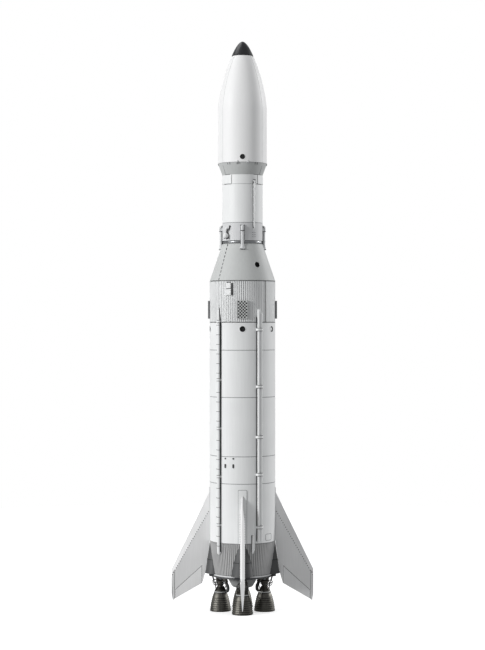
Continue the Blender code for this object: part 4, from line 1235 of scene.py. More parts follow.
class ROCKET_OT_nose(bpy.types.Operator):
    """Model the fairing's base cone, the payload adapter, the three petals and the nose cap"""

    bl_idname = "rocket.nose"
    bl_label = "Nose fairing"

    def execute(self, context):
        sizes = context.scene.rocket_sizes
        self.base(sizes)
        self.adapter()
        for side, azimuth in PETALS.items():
            self.petal(sizes, side, azimuth)
        self.cap()
        return {"FINISHED"}

    def base(self, sizes):
        """Make the cone under the fairing with its joints and hinge plates."""
        bottom = span("fairing_base")[0]
        top, low_radius = PETAL_FOOT, span("stage2_tank")[2]
        high_radius = NOSE_RADIUS
        radius_at = taper(bottom, top, low_radius, high_radius)
        bm = bmesh.new()
        profile = section_profile(sizes, bottom, top, low_radius, high_radius)[1:]
        profile[0] = (low_radius - sizes.seam_depth, bottom)
        lathe(bm, profile, sizes.round_segments, SECTION_NUMBERS[1:])
        piece(bm, "fairing_base_cone", ["adapter_grey_enamel", "seam_sealant"], ["fairing_base"])
        bm = bmesh.new()
        for azimuth in (-56.0, 56.0, 180.0):
            joint = [(0.0, bottom + 0.04), (0.0, top - 0.06)]
            strip_on_body(bm, azimuth, joint, radius_at, 0.014, -0.004, 0.004)
        piece(bm, "fairing_base_joints", ["seam_sealant"])
        plate = [(1.31, top - 0.14), (1.43, top - 0.075), (1.462, top - 0.02), (1.462, top + 0.005)]
        plate += [(1.45, top + 0.018), (1.43, top + 0.014), (1.405, top), (1.31, top - 0.06)]
        bm = bmesh.new()
        for azimuth in PETALS.values():
            for middle in (-0.30, 0.30):
                for low in (middle - 0.048, middle + 0.028):
                    rows = [[(x, y, z) for x, z in plate] for y in (low, low + 0.02)]
                    skin(bm, rows, 0, at(azimuth))
        piece(bm, "petal_hinge_plates", ["pale_grey_enamel"], bevel=0.004)
        bm = bmesh.new()
        for azimuth in (-85.5, -34.5, 34.5, 85.5, 154.5, 205.5):
            for aside in (-0.075, 0.075):
                corners = rectangle(aside - 0.022, aside + 0.022, 25.80, 25.92)
                plate_on_body(bm, azimuth, corners, radius_at, -0.01, 0.022)
        piece(bm, "fairing_latches", ["panel_grey_enamel"], bevel=0.003)

    def adapter(self):
        """Make the payload adapter cone with its flanges, ribs and bolts."""
        bottom, top, radius = span("payload_adapter")
        bm = bmesh.new()
        profile = [(radius - 0.004, bottom), (radius - 0.004, bottom + 0.03), (radius - 0.06, bottom + 0.035)]
        profile += [
            (0.50, top - 0.045), (0.53, top - 0.04), (0.53, top - 0.012), (0.47, top - 0.012), (0.47, top)
        ]
        lathe(bm, profile, 96)
        for i in range(24):
            matrix = at(15.0 * i)
            rows = [
                [
                    (x, y, z) for x,
                    z in (
                        (0.84, bottom + 0.03), (0.86, bottom + 0.06), (0.53, top - 0.05), (0.50, top - 0.05)
                    )
                ]
                for y in (-0.008, 0.008)
            ]
            skin(bm, rows, 0, matrix)
            heads(bm, [(matrix @ Vector((0.872, 0.05, bottom + 0.03)), UP)], 0.012, 1)
        kinds = ["cone_grey_enamel", "machined_steel"]
        piece(bm, "payload_adapter_cone", kinds, ["payload_adapter"])

    def petal(self, sizes, side, azimuth):
        """Make one petal: its outer and inner skins, inner ribs, edge strips, lugs and pins."""
        node = "fairing_petal_" + side
        body = "petal_" + side
        bottom, wall, gap = 25.936, 0.05, 0.008
        top = span(node)[1]
        dark = top - 0.06
        heights = [bottom, bottom + 0.4, 27.0, 28.0, NOSE_START]
        heights += [NOSE_START + (dark - NOSE_START) * (i + 1) / 24.0 for i in range(24)] + [top]
        columns = 64
        matrix = at(azimuth)

        def arc(radius, height, count, order=1.0, trim=0.0):
            half = PETAL_HALF_ANGLE - math.asin(gap / 2.0 / radius) - trim / radius
            points = []
            for i in range(count + 1):
                angle = order * half * (2.0 * i / count - 1.0)
                points.append((radius * math.cos(angle), radius * math.sin(angle), height))
            return points

        bm = bmesh.new()
        rows = [
            arc(nose_radius(z), z, columns) + arc(nose_radius(z) - wall, z, columns, -1.0) for z in heights
        ]
        skin(bm, rows, 0, matrix)
        for face in bm.faces:
            middle = face.calc_center_median()
            if math.hypot(middle.x, middle.y) < nose_radius(middle.z) - wall * 0.7:
                face.material_index = 1
            elif middle.z > dark:
                face.material_index = 3
        kinds = ["fairing_enamel", "inner_primer", "black_rubber", "charcoal_enamel"]
        shell = piece(bm, node + "_shell", kinds, [node], body=body)
        if side == "front":
            bore(shell, [(azimuth, PETAL_PORT_HEIGHT, PETAL_PORT_RADIUS, 1.2, 1.6)])
            bm = bmesh.new()
            port_rim(bm, azimuth, PETAL_PORT_HEIGHT, PETAL_PORT_RADIUS, NOSE_RADIUS, 0.020, 0.010)
            piece(bm, "petal_vent_rim", ["fairing_enamel"], body=body)
            # A black disc set inside the port is painted shade, so that the hole reads dark.
            bm = bmesh.new()
            shade_disc = [(reach, 0.0, PETAL_PORT_HEIGHT) for reach in (1.366, 1.376)]
            pipe(bm, shade_disc, 0.156, 32, 0, matrix)
            piece(bm, "petal_vent_screen", ["black_rubber"], body=body)
        self.edge_strips(sizes, side, matrix, heights)
        self.inner_ribs(side, matrix, top, wall)
        self.hinges(side, matrix)

    def edge_strips(self, sizes, side, matrix, heights):
        """Lay a thin strip and a grey line beside it along both long edges of a petal."""
        width = sizes.edge_strip
        bm = bmesh.new()
        for sign in (-1.0, 1.0):
            for inset, reach, proud, number in (
                (0.006, width, 0.005, 0), (width - 0.002, width + 0.020, 0.003, 1)
            ):
                rows = []
                for height in heights[:-1]:
                    radius = nose_radius(height)
                    near = PETAL_HALF_ANGLE - inset / radius
                    far = PETAL_HALF_ANGLE - reach / radius
                    row = []
                    for angle, lift in ((near, -0.004), (near, proud), (far, proud), (far, -0.004)):
                        x = (radius + lift) * math.cos(angle * sign)
                        row.append((x, (radius + lift) * math.sin(angle * sign), height))
                    rows.append(row)
                skin(bm, rows, number, matrix)
        kinds = ["fairing_enamel", "adapter_grey_enamel"]
        piece(bm, "petal_edge_strips_" + side, kinds, body="petal_" + side)

    def inner_ribs(self, side, matrix, top, wall):
        """Add the hoop ribs and the upright stiffeners inside a petal."""
        bm = bmesh.new()
        for height in (26.5, 27.3, 28.1, 28.9, 29.7, 30.5, 31.3):
            radius = nose_radius(height) - wall
            if height > top - 0.6:
                continue
            section_points = [(radius + 0.01, height - 0.02), (radius + 0.004, height + 0.02)]
            section_points += [(radius - 0.035, height + 0.02), (radius - 0.035, height - 0.02)]
            hoop(bm, section_points, 32, 0, matrix, (-57.0, 57.0))
        for angle in (-38.0, -19.0, 0.0, 19.0, 38.0):
            turn = matrix @ Matrix.Rotation(math.radians(angle), 4, "Z")
            rows = []
            for height in (26.05, 27.0, 28.0, 29.07, 29.6, 30.1, 30.6, 31.0):
                radius = nose_radius(height) - wall
                corners = ((0.01, -0.015), (0.01, 0.015), (-0.028, 0.015), (-0.028, -0.015))
                rows.append([(radius + x, y, height) for x, y in corners])
            skin(bm, rows, 0, turn)
        piece(bm, "petal_ribs_" + side, ["inner_primer"], body="petal_" + side)

    def hinges(self, side, matrix):
        """Add the two hinge lugs with their pins."""
        base = PETAL_FOOT
        lug = [(1.37, base + 0.02), (1.41, base + 0.02), (1.418, base - 0.016), (1.462, base - 0.016)]
        lug += [(1.462, base + 0.016), (1.42, base + 0.09), (1.37, base + 0.09)]
        bm = bmesh.new()
        for middle in (-0.30, 0.30):
            rows = [[(x, y, z) for x, z in lug] for y in (middle - 0.016, middle + 0.016)]
            skin(bm, rows, 0, matrix)
            pipe(bm, [(1.44, middle - 0.052, base), (1.44, middle + 0.052, base)], 0.0195, 16, 1, matrix)
        kinds = ["pale_grey_enamel", "adapter_grey_enamel"]
        piece(bm, "petal_hinge_lugs_" + side, kinds, bevel=0.003, body="petal_" + side)

    def cap(self):
        """Make the dark nose cap with its rolled lower edge."""
        bottom, top, _ = span("nose_cap")
        bm = bmesh.new()
        profile = [(nose_radius(bottom) - 0.02, bottom)]
        tip, steps = top - 0.04, 40
        for i in range(steps):
            height = bottom + 0.002 + (tip - bottom - 0.002) * (1.0 - (1.0 - i / steps) ** 2)
            profile.append((0.69 * (tip - height) ** 0.563, height))
        profile.append((0.0, tip))
        lathe(bm, profile, 96)
        piece(bm, "nose_cap_shell", ["charcoal_enamel"], ["nose_cap"], body="petal_front")


# Aft end, fins and engines


SKIRT_LOW, SKIRT_HIGH, SKIRT_TOP_RADIUS = span("aft_skirt")
SKIRT_TAPER = 0.19
RIM_LOW, RIM_MIDDLE, RIM_HIGH = 2.125, 2.165, 2.198
END_FRAME_LOW, END_FRAME_HIGH = 2.026, 2.126
BASE_PLATE_FACE = 2.03


def skirt_radius(height):
    """Give the aft skirt's radius over its stringers."""
    return SKIRT_TOP_RADIUS - SKIRT_TAPER * (SKIRT_HIGH - height) / (SKIRT_HIGH - SKIRT_LOW)


class ROCKET_OT_aft_section(bpy.types.Operator):
    """Model the corrugated aft skirt, the engine fairings, the base plate's trim and the dome"""

    bl_idname = "rocket.aft_section"
    bl_label = "Aft section"

    def execute(self, context):
        sizes = context.scene.rocket_sizes
        bm = bmesh.new()
        corrugated(bm, sizes, SKIRT_LOW, SKIRT_HIGH, skirt_radius)
        kinds = ["skirt_grey_enamel", "skirt_shade"]
        piece(bm, "aft_skirt_stringers", kinds, ["aft_skirt"])
        bm = bmesh.new()
        edge = skirt_radius(SKIRT_LOW)
        rim = [(edge - 0.02, RIM_LOW), (edge + 0.010, RIM_LOW), (edge + 0.014, RIM_MIDDLE)]
        rim += [(edge + 0.010, RIM_HIGH), (edge - 0.02, RIM_HIGH)]
        hoop(bm, rim, sizes.round_segments)
        frame_section = [(edge - 0.02, END_FRAME_LOW), (edge + 0.002, END_FRAME_LOW)]
        frame_section += [(edge + 0.004, END_FRAME_HIGH), (edge - 0.02, END_FRAME_HIGH)]
        hoop(bm, frame_section, sizes.round_segments, 1)
        piece(bm, "aft_skirt_rim", ["pale_grey_enamel", "heat_grey_enamel"])
        for side, azimuth in SIDES.items():
            self.engine_fairing(side, azimuth)
        self.base()
        return {"FINISHED"}

    def engine_fairing(self, side, azimuth):
        """Make a half cone over an engine, closed against the skirt, with its joint and lip."""
        apex, fall = 4.0, 1.8
        matrix = at(azimuth)

        def cone(share):
            height = apex - fall * share
            centre, radius = 1.50, 0.40 + 0.26 * share
            seat = skirt_radius(height) - 0.03
            cosine = (seat**2 - centre**2 - radius**2) / (2.0 * centre * radius)
            return height, centre, radius, math.acos(max(-0.85, min(0.85, cosine)))

        def arc(share, lift=0.0, columns=40):
            height, centre, radius, reach = cone(share)
            row = []
            for i in range(columns + 1):
                angle = reach * (2.0 * i / columns - 1.0)
                row.append(
                    (centre + (radius + lift) * math.cos(angle), (radius + lift) * math.sin(angle), height)
                )
            return row

        bm = bmesh.new()
        skin(bm, [arc(0.03 + 0.97 * i / 20.0) for i in range(21)], 0, matrix)
        for low, high, number, proud in (
            (0.545, 0.565, 1, 0.006), (0.955, 0.999, 0, 0.016), (0.565, 0.60, 0, 0.012)
        ):
            rows = [arc(low, -0.02), arc(low, proud), arc(high, proud), arc(high, -0.02)]
            skin(bm, rows + [rows[0]], number, matrix, closed=False, caps=False)
            bmesh.ops.remove_doubles(bm, verts=bm.verts, dist=0.00005)
        places = []
        for share in (0.53, 0.615, 0.935):
            height, centre, radius, reach = cone(share)
            count = round(reach * 2.0 * radius / 0.075)
            for i in range(count):
                angle = reach * (2.0 * (i + 0.5) / count - 1.0) * 0.97
                point = Vector((centre + radius * math.cos(angle), radius * math.sin(angle), height))
                places.append(
                    (
                        matrix @ point,
                        matrix.to_3x3() @ Vector((math.cos(angle), math.sin(angle), 0.35)).normalized()
                    )
                )
        heads(bm, places, 0.011)
        kinds = ["heat_grey_enamel", "black_rubber"]
        piece(bm, "engine_fairing_shell_" + side, kinds, ["engine_fairing_" + side])

    def base(self):
        """Finish the base plate, bolt it round its edge and make the dome between the engines."""
        dress_node("base_plate", "charcoal_enamel")
        plate = BASE_PLATE_FACE
        bm = bmesh.new()
        for i in range(48):
            point = at(7.5 * i) @ Vector((1.64, 0.0, plate))
            heads(bm, [(point, DOWN)], 0.018)
        section_points = [
            (0.90, plate + 0.004), (0.90, plate - 0.02), (0.96, plate - 0.02), (0.98, plate + 0.004)
        ]
        hoop(bm, section_points, 96)
        piece(bm, "base_plate_bolts", ["machined_steel"])
        bottom, top, radius = span("base_dome")
        profile = [
            (0.40, bottom + 0.012), (0.41, bottom), (0.475, bottom), (0.49, bottom + 0.006),
            (0.54, bottom + 0.034)
        ]
        profile += [
            (0.60, 1.468), (0.655, 1.535), (0.665, 1.54), (0.672, 1.556), (0.668, 1.562), (0.72, 1.63)
        ]
        profile += [
            (0.775, 1.745), (0.815, 1.84), (0.825, 1.85), (0.832, 1.87), (0.828, 1.876), (0.845, 1.95)
        ]
        bm = bmesh.new()
        lathe(bm, profile + [(radius, top)], 128)
        for i in range(12):
            matrix = at(30.0 * i + 15.0)
            path = [(0.455, 0.0, bottom + 0.004), (0.545, 0.0, 1.41), (0.61, 0.0, 1.468), (0.66, 0.0, 1.53)]
            pipe(bm, path, 0.012, 6, 0, matrix)
            heads(bm, [(matrix @ Vector((0.44, 0.05, bottom)), DOWN)], 0.012, 1)
        kinds = ["dome_grey_enamel", "machined_steel"]
        piece(bm, "base_dome_shell", kinds, ["base_dome"])


class ROCKET_OT_fins(bpy.types.Operator):
    """Model the fins and rudders with their rivet rows, panel lines and root plates"""

    bl_idname = "rocket.fins"
    bl_label = "Fins and rudders"

    full, sharp, blunt = 0.138, 0.012, 0.015
    notch = (2.34, 3.93)
    tip = 4.11
    cove, nose, stretch = 0.062, 0.050, 1.3475

    def execute(self, context):
        sizes = context.scene.rocket_sizes
        for side, azimuth in SIDES.items():
            self.fin(sizes, side, at(azimuth))
            self.rudder(sizes, side, at(azimuth))
            self.root_plate(side, azimuth)
        return {"FINISHED"}

    def lead(self, radius):
        """Give the height of the leading edge."""
        return 6.94 - 2.041 * (radius - 1.90)

    def wedge(self, radius):
        """Give the height where a fin is thickest, below its leading edge."""
        return 5.89 - 1.745 * (radius - 1.90)

    def hinge(self, radius):
        """Give the height of the rudder's hinge line."""
        return 2.58 - 0.9032 * (radius - 2.36)

    def trail(self, radius):
        """Give the height of the trailing edge."""
        return 1.59 - 0.5742 * (radius - 2.36)

    def foot(self, radius):
        """Give the height of a fin's lower edge, inward of the rudder."""
        if radius < 2.156:
            return 3.97 - 7.22 * (radius - 1.915)
        return 2.23 - 3.416 * (radius - 2.156)

    def half(self, radius, height):
        """Give half the thickness of a fin: a wedge in front, then a long taper to the trailing edge."""
        lead, wedge, trail = self.lead(radius), self.wedge(radius), self.trail(radius)
        if height > wedge:
            return self.sharp + (self.full - self.sharp) * (lead - height) / (lead - wedge)
        return self.blunt + (self.full - self.blunt) * (height - trail) / (wedge - trail)

    def loop(self, radius, lower):
        """Close a section: the given lower points of one side, between both upper sides."""
        upper = [(radius, self.sharp, self.lead(radius)), (radius, self.full, self.wedge(radius))]
        side = upper + lower
        return side + [(x, -y, z) for x, y, z in reversed(side)]

    def fin(self, sizes, side, matrix):
        """Make the fixed fin with the notch and cove for its rudder, its dark lines and rivets."""
        bm = bmesh.new()
        rows = []
        for i in range(9):
            radius = 1.912 + (self.notch[0] - 1.912) * i / 8.0
            foot = self.foot(radius)
            rows.append(self.loop(radius, [(radius, self.half(radius, foot), foot)]))
        skin(bm, rows)
        rows = []
        for i in range(15):
            radius = self.notch[0] + (self.notch[1] - self.notch[0]) * i / 14.0
            lower = []
            for angle in (54.0, 40.0, 26.0, 12.0):
                across = self.cove * math.sin(math.radians(angle))
                height = self.hinge(radius) + self.stretch * self.cove * math.cos(math.radians(angle))
                lower.append((radius, across, height))
            rows.append(self.loop(radius, lower))
        skin(bm, rows)
        # Faces inside the cove turn black: painted shade in the hinge gap.
        for face in bm.faces:
            middle = face.calc_center_median()
            above = middle.z - self.hinge(middle.x)
            if self.notch[0] < middle.x < self.notch[1] and abs(middle.y) < 0.049 and above < 0.09:
                face.material_index = 1
        rows = []
        for radius, foot in (
            (self.notch[1], (self.notch[1], self.trail(self.notch[1]))), (self.tip, (4.04, 0.60))
        ):
            middle = (radius, self.half(radius, 1.0), 1.0)
            rows.append(self.loop(radius, [middle, (foot[0], self.blunt, foot[1])]))
        skin(bm, rows)
        # Thin black slabs at both notch ends are painted shade in the gaps beside the rudder's ends.
        for low, high in (
            (self.notch[0] - 0.01, self.notch[0] + 0.008), (self.notch[1] - 0.002, self.notch[1] + 0.01)
        ):
            rows = []
            for radius in (low, high):
                top, bottom = self.hinge(radius) + 0.04, self.trail(radius) + 0.004
                row = [
                    (radius, 0.034, top), (radius, 0.010, bottom), (radius, -0.010, bottom),
                    (radius, -0.034, top)
                ]
                rows.append(row)
            skin(bm, rows, 1)
        inner, edge = self.notch[0], 3.955
        self.line(
            bm, [(edge, self.wedge(edge) + 0.06), (edge, self.wedge(edge)), (edge, self.trail(edge) + 0.02)],
            0.022
        )
        self.line(bm, [(edge, 2.33), (4.10, 2.22)], 0.018)
        places, dark = [], []
        for sign in (-1.0, 1.0):
            outward = Vector((0.0, sign, 0.0))
            rows = [(dark, 0.15, (1.97, self.wedge(1.97)), (4.07, self.wedge(4.07)))]
            rows.append((places, 0.11, (2.42, self.hinge(2.42) + 0.15), (3.88, self.hinge(3.88) + 0.15)))
            rows.append((places, 0.11, (4.03, self.wedge(4.03) - 0.12), (4.03, 0.80)))
            rows.append((places, 0.11, (1.985, self.wedge(2.0) - 0.2), (1.985, 3.75)))
            rows.append((places, 0.11, (inner - 0.05, self.hinge(inner)), (inner - 0.05, 1.80)))
            for radius in (2.55, 3.20):
                rows.append(
                    (places, 0.11, (radius, self.wedge(radius) - 0.12), (radius, self.hinge(radius) + 0.24))
                )
            for kept, pitch, start, end in rows:
                count = max(2, round((Vector(end) - Vector(start)).length / pitch))
                for i in range(count + 1):
                    spot = Vector(start).lerp(Vector(end), i / count)
                    kept.append((Vector((spot.x, sign * self.half(*spot), spot.y)), outward))
        heads(bm, places, sizes.rivet_radius * 0.7)
        heads(bm, dark, sizes.rivet_radius * 1.9, 1)
        kinds = ["fin_enamel", "black_rubber"]
        made = piece(bm, "fin_%s_blade" % side, kinds, ["fin_" + side], matrix)
        made.data.set_sharp_from_angle(angle=math.radians(6.0))

    def line(self, bm, path, width):
        """Lay a thin dark strip along (radius, height) points on both faces of a fin."""
        for sign in (-1.0, 1.0):
            rows = []
            for i, (radius, height) in enumerate(path):
                before, after = path[max(i - 1, 0)], path[min(i + 1, len(path) - 1)]
                run = Vector((after[0] - before[0], after[1] - before[1])).normalized() * width / 2.0
                row = []
                for lift, edge in ((-0.006, -1.0), (0.003, -1.0), (0.003, 1.0), (-0.006, 1.0)):
                    x, z = radius - run.y * edge, height + run.x * edge
                    row.append((x, sign * (self.half(x, z) + lift), z))
                rows.append(row)
            skin(bm, rows, 1)

    def rudder(self, sizes, side, matrix):
        """Make a rudder with its round nose, black ends and nose top that are painted shade in its gaps, and
        rivets.
        """
        low, high, shade_band = self.notch[0] + 0.016, self.notch[1] - 0.016, 0.018
        radii = [low] + [low + shade_band + (high - low - 2.0 * shade_band) * i / 12.0 for i in range(13)] + [high]
        bm = bmesh.new()
        rows = []
        for radius in radii:
            row = []
            for ahead, across in half_turn():
                height = self.hinge(radius) + self.stretch * self.nose * ahead
                row.append((radius, self.nose * across, height))
            trail = self.trail(radius)
            rows.append(row + [(radius, self.blunt, trail), (radius, -self.blunt, trail)])
        skin(bm, rows)
        # Faces at the rudder's ends and on top of its nose turn black: painted shade in the gaps.
        for face in bm.faces:
            middle = face.calc_center_median()
            if not radii[1] < middle.x < radii[-2] or middle.z > self.hinge(middle.x) + 0.012:
                face.material_index = 1
        places = []
        for sign in (-1.0, 1.0):
            outward = Vector((0.0, sign, 0.0))
            for radius in [2.42 + 1.44 * i / 14.0 for i in range(15)]:
                for share in (0.12, 0.92):
                    height = self.hinge(radius) + (self.trail(radius) - self.hinge(radius)) * share
                    places.append((Vector((radius, sign * self.half(radius, height), height)), outward))
        heads(bm, places, sizes.rivet_radius * 0.65)
        kinds = ["fin_enamel", "black_rubber"]
        body = "rudder_" + side
        made = piece(bm, "rudder_%s_blade" % side, kinds, [body], matrix, body=body)
        made.data.set_sharp_from_angle(angle=math.radians(12.0))

    def root_plate(self, side, azimuth):
        """Make a fin's root plate with a dark line round its edge, a painted shadow line, and screws."""
        low, high, half, radius = 4.105, 7.15, 0.235, 1.90
        bm = bmesh.new()
        rows = []
        for aside, drop in ((-1.0, 0.04), (-0.95, 0.01), (-0.87, 0.0), (-0.4, 0.0), (0.0, 0.0), (0.4, 0.0)):
            rows.append((aside * half, high - drop))
        rows += [(-aside, top) for aside, top in reversed(rows[:3])]
        points = []
        for aside, top in rows:
            corners = ((-0.004, low), (-0.004, top), (0.031, top), (0.031, low))
            points.append([on_body(azimuth, aside, radius, z, lift) for lift, z in corners])
        skin(bm, points)
        # The dark strip round the plate is a painted shadow line on the tank.
        grown = rounded(half + 0.010, low - 0.01, high + 0.012, 0.05)
        strip_on_body(bm, azimuth, grown, radius, 0.012, -0.004, 0.008, 1, True)
        places = []
        for aside in (-0.86 * half, 0.86 * half):
            places += rivets_at(azimuth, aside, low + 0.1, high - 0.08, radius + 0.031, 0.12)
        heads(bm, places, 0.010)
        piece(bm, "fin_root_plate_" + side, ["tank_enamel", "seam_sealant"])


def bell_radius(height):
    """Give the nozzle's outer radius below the manifold, in the engine's frame."""
    points = [(-0.80, 0.352), (-0.90, 0.398), (-1.00, 0.434), (-1.15, 0.476), (-1.30, 0.512)]
    points += [(-1.45, 0.542), (-1.60, 0.567), (-1.75, 0.586), (-1.90, 0.600)]
    for (high, high_radius), (low, low_radius) in zip(points, points[1:]):
        if height >= low:
            share = (high - height) / (high - low)
            return high_radius + (low_radius - high_radius) * share
    return points[-1][1]


PUMP_TURN, PUMP_REACH = 150.0, 0.40


class ROCKET_OT_engines(bpy.types.Operator):
    """Model the four engines: chamber, nozzle, manifold, pump, pipes and gimbal"""

    bl_idname = "rocket.engines"
    bl_label = "Engines"

    pivot = (1.278, 1.90)

    def execute(self, context):
        sizes = context.scene.rocket_sizes
        for side, azimuth in SIDES.items():
            matrix = at(azimuth, *self.pivot)
            self.nozzle(sizes, side, matrix)
            self.chamber(side, matrix)
            self.turbopump(side, matrix)
            self.plumbing(side, matrix)
        return {"FINISHED"}

    def nozzle(self, sizes, side, matrix):
        """Make the bell with its ribs, a dark band of painted shade under each rib and the manifold ring at
        its top.
        """
        wall = sizes.nozzle_wall
        outer = [
            (0.150, -0.43), (0.160, -0.47), (0.185, -0.52), (0.225, -0.585), (0.275, -0.66), (0.325, -0.735)
        ]
        outer += [(0.352, -0.80)] + [(bell_radius(z), z) for z in (-0.86, -0.92, -0.98, -1.02)]
        dark = []
        for i in range(7):
            band = -1.10 - 0.118 * i
            for rise, proud in (
                (0.024, 0.0), (0.016, 0.016), (-0.010, 0.017), (-0.016, -0.004), (-0.048, -0.004)
            ):
                outer.append((bell_radius(band + rise) + proud, band + rise))
            dark.append(len(outer) - 2)
        outer += [(bell_radius(-1.855) + 0.002, -1.858), (0.606, -1.866), (0.606, -1.892), (0.600, -1.90)]
        inner = [
            (0.600 - wall, -1.90), (bell_radius(-1.75) - wall, -1.75), (bell_radius(-1.60) - wall, -1.60)
        ]
        inner += [(bell_radius(z) - wall, z) for z in (-1.45, -1.30, -1.15, -1.0, -0.9, -0.82)]
        inner += [
            (0.30, -0.735), (0.25, -0.66), (0.20, -0.585), (0.16, -0.52), (0.135, -0.47), (0.128, -0.43)
        ]
        bm = bmesh.new()
        hoop(bm, outer + inner, 96)
        # Material 1 is a thin dark band just under each rib: painted shade.
        joints = [(outer[i][1] + outer[i + 1][1]) / 2.0 for i in dark]
        for face in bm.faces:
            middle = face.calc_center_median()
            reach = math.hypot(middle.x, middle.y)
            if any(abs(middle.z - joint) < 0.004 and reach > bell_radius(joint) - 0.012 for joint in joints):
                face.material_index = 1
        kinds = ["nozzle_alloy", "nozzle_joint"]
        body = "engine_" + side
        bell = piece(bm, body + "_bell", kinds, [body + "_nozzle"], matrix, body=body)
        bell.data.set_sharp_from_angle(angle=math.radians(30.0))
        bm = bmesh.new()
        hoop(bm, bead(0.352, -0.790, 0.024, 12), 96)
        ribs = 24
        for i in range(ribs):
            turn = Matrix.Rotation(math.radians(360.0 * i / ribs + 7.5), 4, "Z")
            rows = [
                [
                    (0.17, y, -0.50), (0.32, y, -0.735), (0.345, y, -0.74), (0.20, y, -0.48)
                ] for y in (-0.009, 0.009)
            ]
            skin(bm, rows, 1, turn)
        hoop(bm, bead(0.225, -0.560, 0.018, 8), 48, 1)
        hoop(bm, [(0.350, -0.822), (0.372, -0.822), (0.380, -0.852), (0.366, -0.856)], 96, 2)
        kinds = ["adapter_grey_enamel", "machined_steel", "black_rubber"]
        piece(bm, body + "_manifold", kinds, (), matrix, body=body)

    def chamber(self, side, matrix):
        """Make the combustion chamber with its dome, bolted flanges, thrust blocks, gimbal block and pin."""
        profile = [
            (0.0, -0.02), (0.06, -0.022), (0.095, -0.045), (0.115, -0.085), (0.165, -0.094), (0.20, -0.112)
        ]
        profile += [(0.222, -0.138), (0.255, -0.142), (0.255, -0.168), (0.220, -0.172), (0.216, -0.215)]
        profile += [(0.224, -0.22), (0.224, -0.235), (0.216, -0.24), (0.216, -0.298), (0.25, -0.302)]
        profile += [
            (0.25, -0.328), (0.208, -0.332), (0.196, -0.36), (0.178, -0.40), (0.158, -0.43), (0.149, -0.445)
        ]
        bm = bmesh.new()
        lathe(bm, profile, 64)
        for height in (-0.142, -0.302):
            bolt_circle(bm, 20, 0.237, height, 0.012)
        block(bm, (-0.058, -0.118, -0.115), (0.058, 0.118, 0.03), 1)
        pipe(bm, [(0.0, -0.118, 0.0), (0.0, 0.118, 0.0)], 0.062, 24, 1)
        pipe(bm, [(0.0, -0.170, 0.0), (0.0, 0.170, 0.0)], 0.0295, 20, 1)
        block(bm, (0.15, -0.019, -0.414), (0.30, 0.019, -0.371), 1)
        for sign in (-1.0, 1.0):
            outline = [
                (0.095, -0.14), (0.245, -0.145), (0.262, 0.0), (0.245, 0.045), (0.12, 0.055), (0.095, 0.03)
            ]
            skin(bm, [[(sign * x, y, z) for x, z in outline] for y in (-0.13, 0.13)])
            pipe(bm, [(sign * 0.245, -0.15, 0.012), (sign * 0.245, 0.15, 0.012)], 0.030, 12, 1)
        kinds = ["machined_steel", "polished_aluminium"]
        body = "engine_" + side
        piece(bm, body + "_head", kinds, [body + "_chamber"], matrix, 0.002, body)

    def turbopump(self, side, matrix):
        """Make the pump beside the chamber with its motor, volutes, flanges and exhaust elbow."""
        turn = Matrix.Rotation(math.radians(PUMP_TURN), 4, "Z")
        spin = turn @ Matrix.Translation((PUMP_REACH, 0.0, 0.0))
        bm = bmesh.new()
        profile = [
            (0.0, 0.035), (0.045, 0.033), (0.062, 0.015), (0.062, -0.06), (0.05, -0.075), (0.06, -0.085)
        ]
        profile += [(0.066, -0.10), (0.092, -0.104), (0.092, -0.118), (0.074, -0.122), (0.074, -0.14)]
        profile += [(0.098, -0.15), (0.110, -0.17), (0.110, -0.185), (0.098, -0.205), (0.074, -0.215)]
        profile += [(0.074, -0.228), (0.096, -0.232), (0.096, -0.246), (0.078, -0.25), (0.098, -0.262)]
        profile += [(0.108, -0.28), (0.104, -0.30), (0.09, -0.315), (0.09, -0.325)]
        lathe(bm, profile, 40, 0, spin)
        for height in (-0.104, -0.232):
            bolt_circle(bm, 12, 0.084, height, 0.008, spin)
        path = [
            (0.40, 0.0, -0.28), (0.420, 0.0, -0.34), (0.462, 0.0, -0.41), (0.497, 0.0, -0.50),
            (0.506, 0.0, -0.59)
        ]
        path += [(0.496, 0.0, -0.67), (0.462, 0.0, -0.735), (0.410, 0.0, -0.778), (0.345, 0.0, -0.800)]
        pipe(bm, path, [0.090, 0.092, 0.092, 0.094, 0.095, 0.092, 0.084, 0.072, 0.062], 32, 2, turn)
        for i, j in ((2, 3), (5, 6)):
            start, end = Vector(path[i]), Vector(path[j])
            middle = start.lerp(end, 0.5)
            along = (end - start).normalized() * 0.016
            pipe(bm, [middle - along, middle + along], 0.106, 32, 0, turn)
        block(bm, (0.225, -0.045, -0.285), (0.34, 0.045, -0.20), 1, turn)
        block(bm, (0.20, -0.05, -0.135), (0.36, 0.05, -0.03), 0, turn)
        kinds = ["machined_steel", "polished_aluminium", "heat_grey_enamel"]
        body = "engine_" + side
        piece(bm, body + "_pump", kinds, [body + "_turbopump"], matrix, body=body)

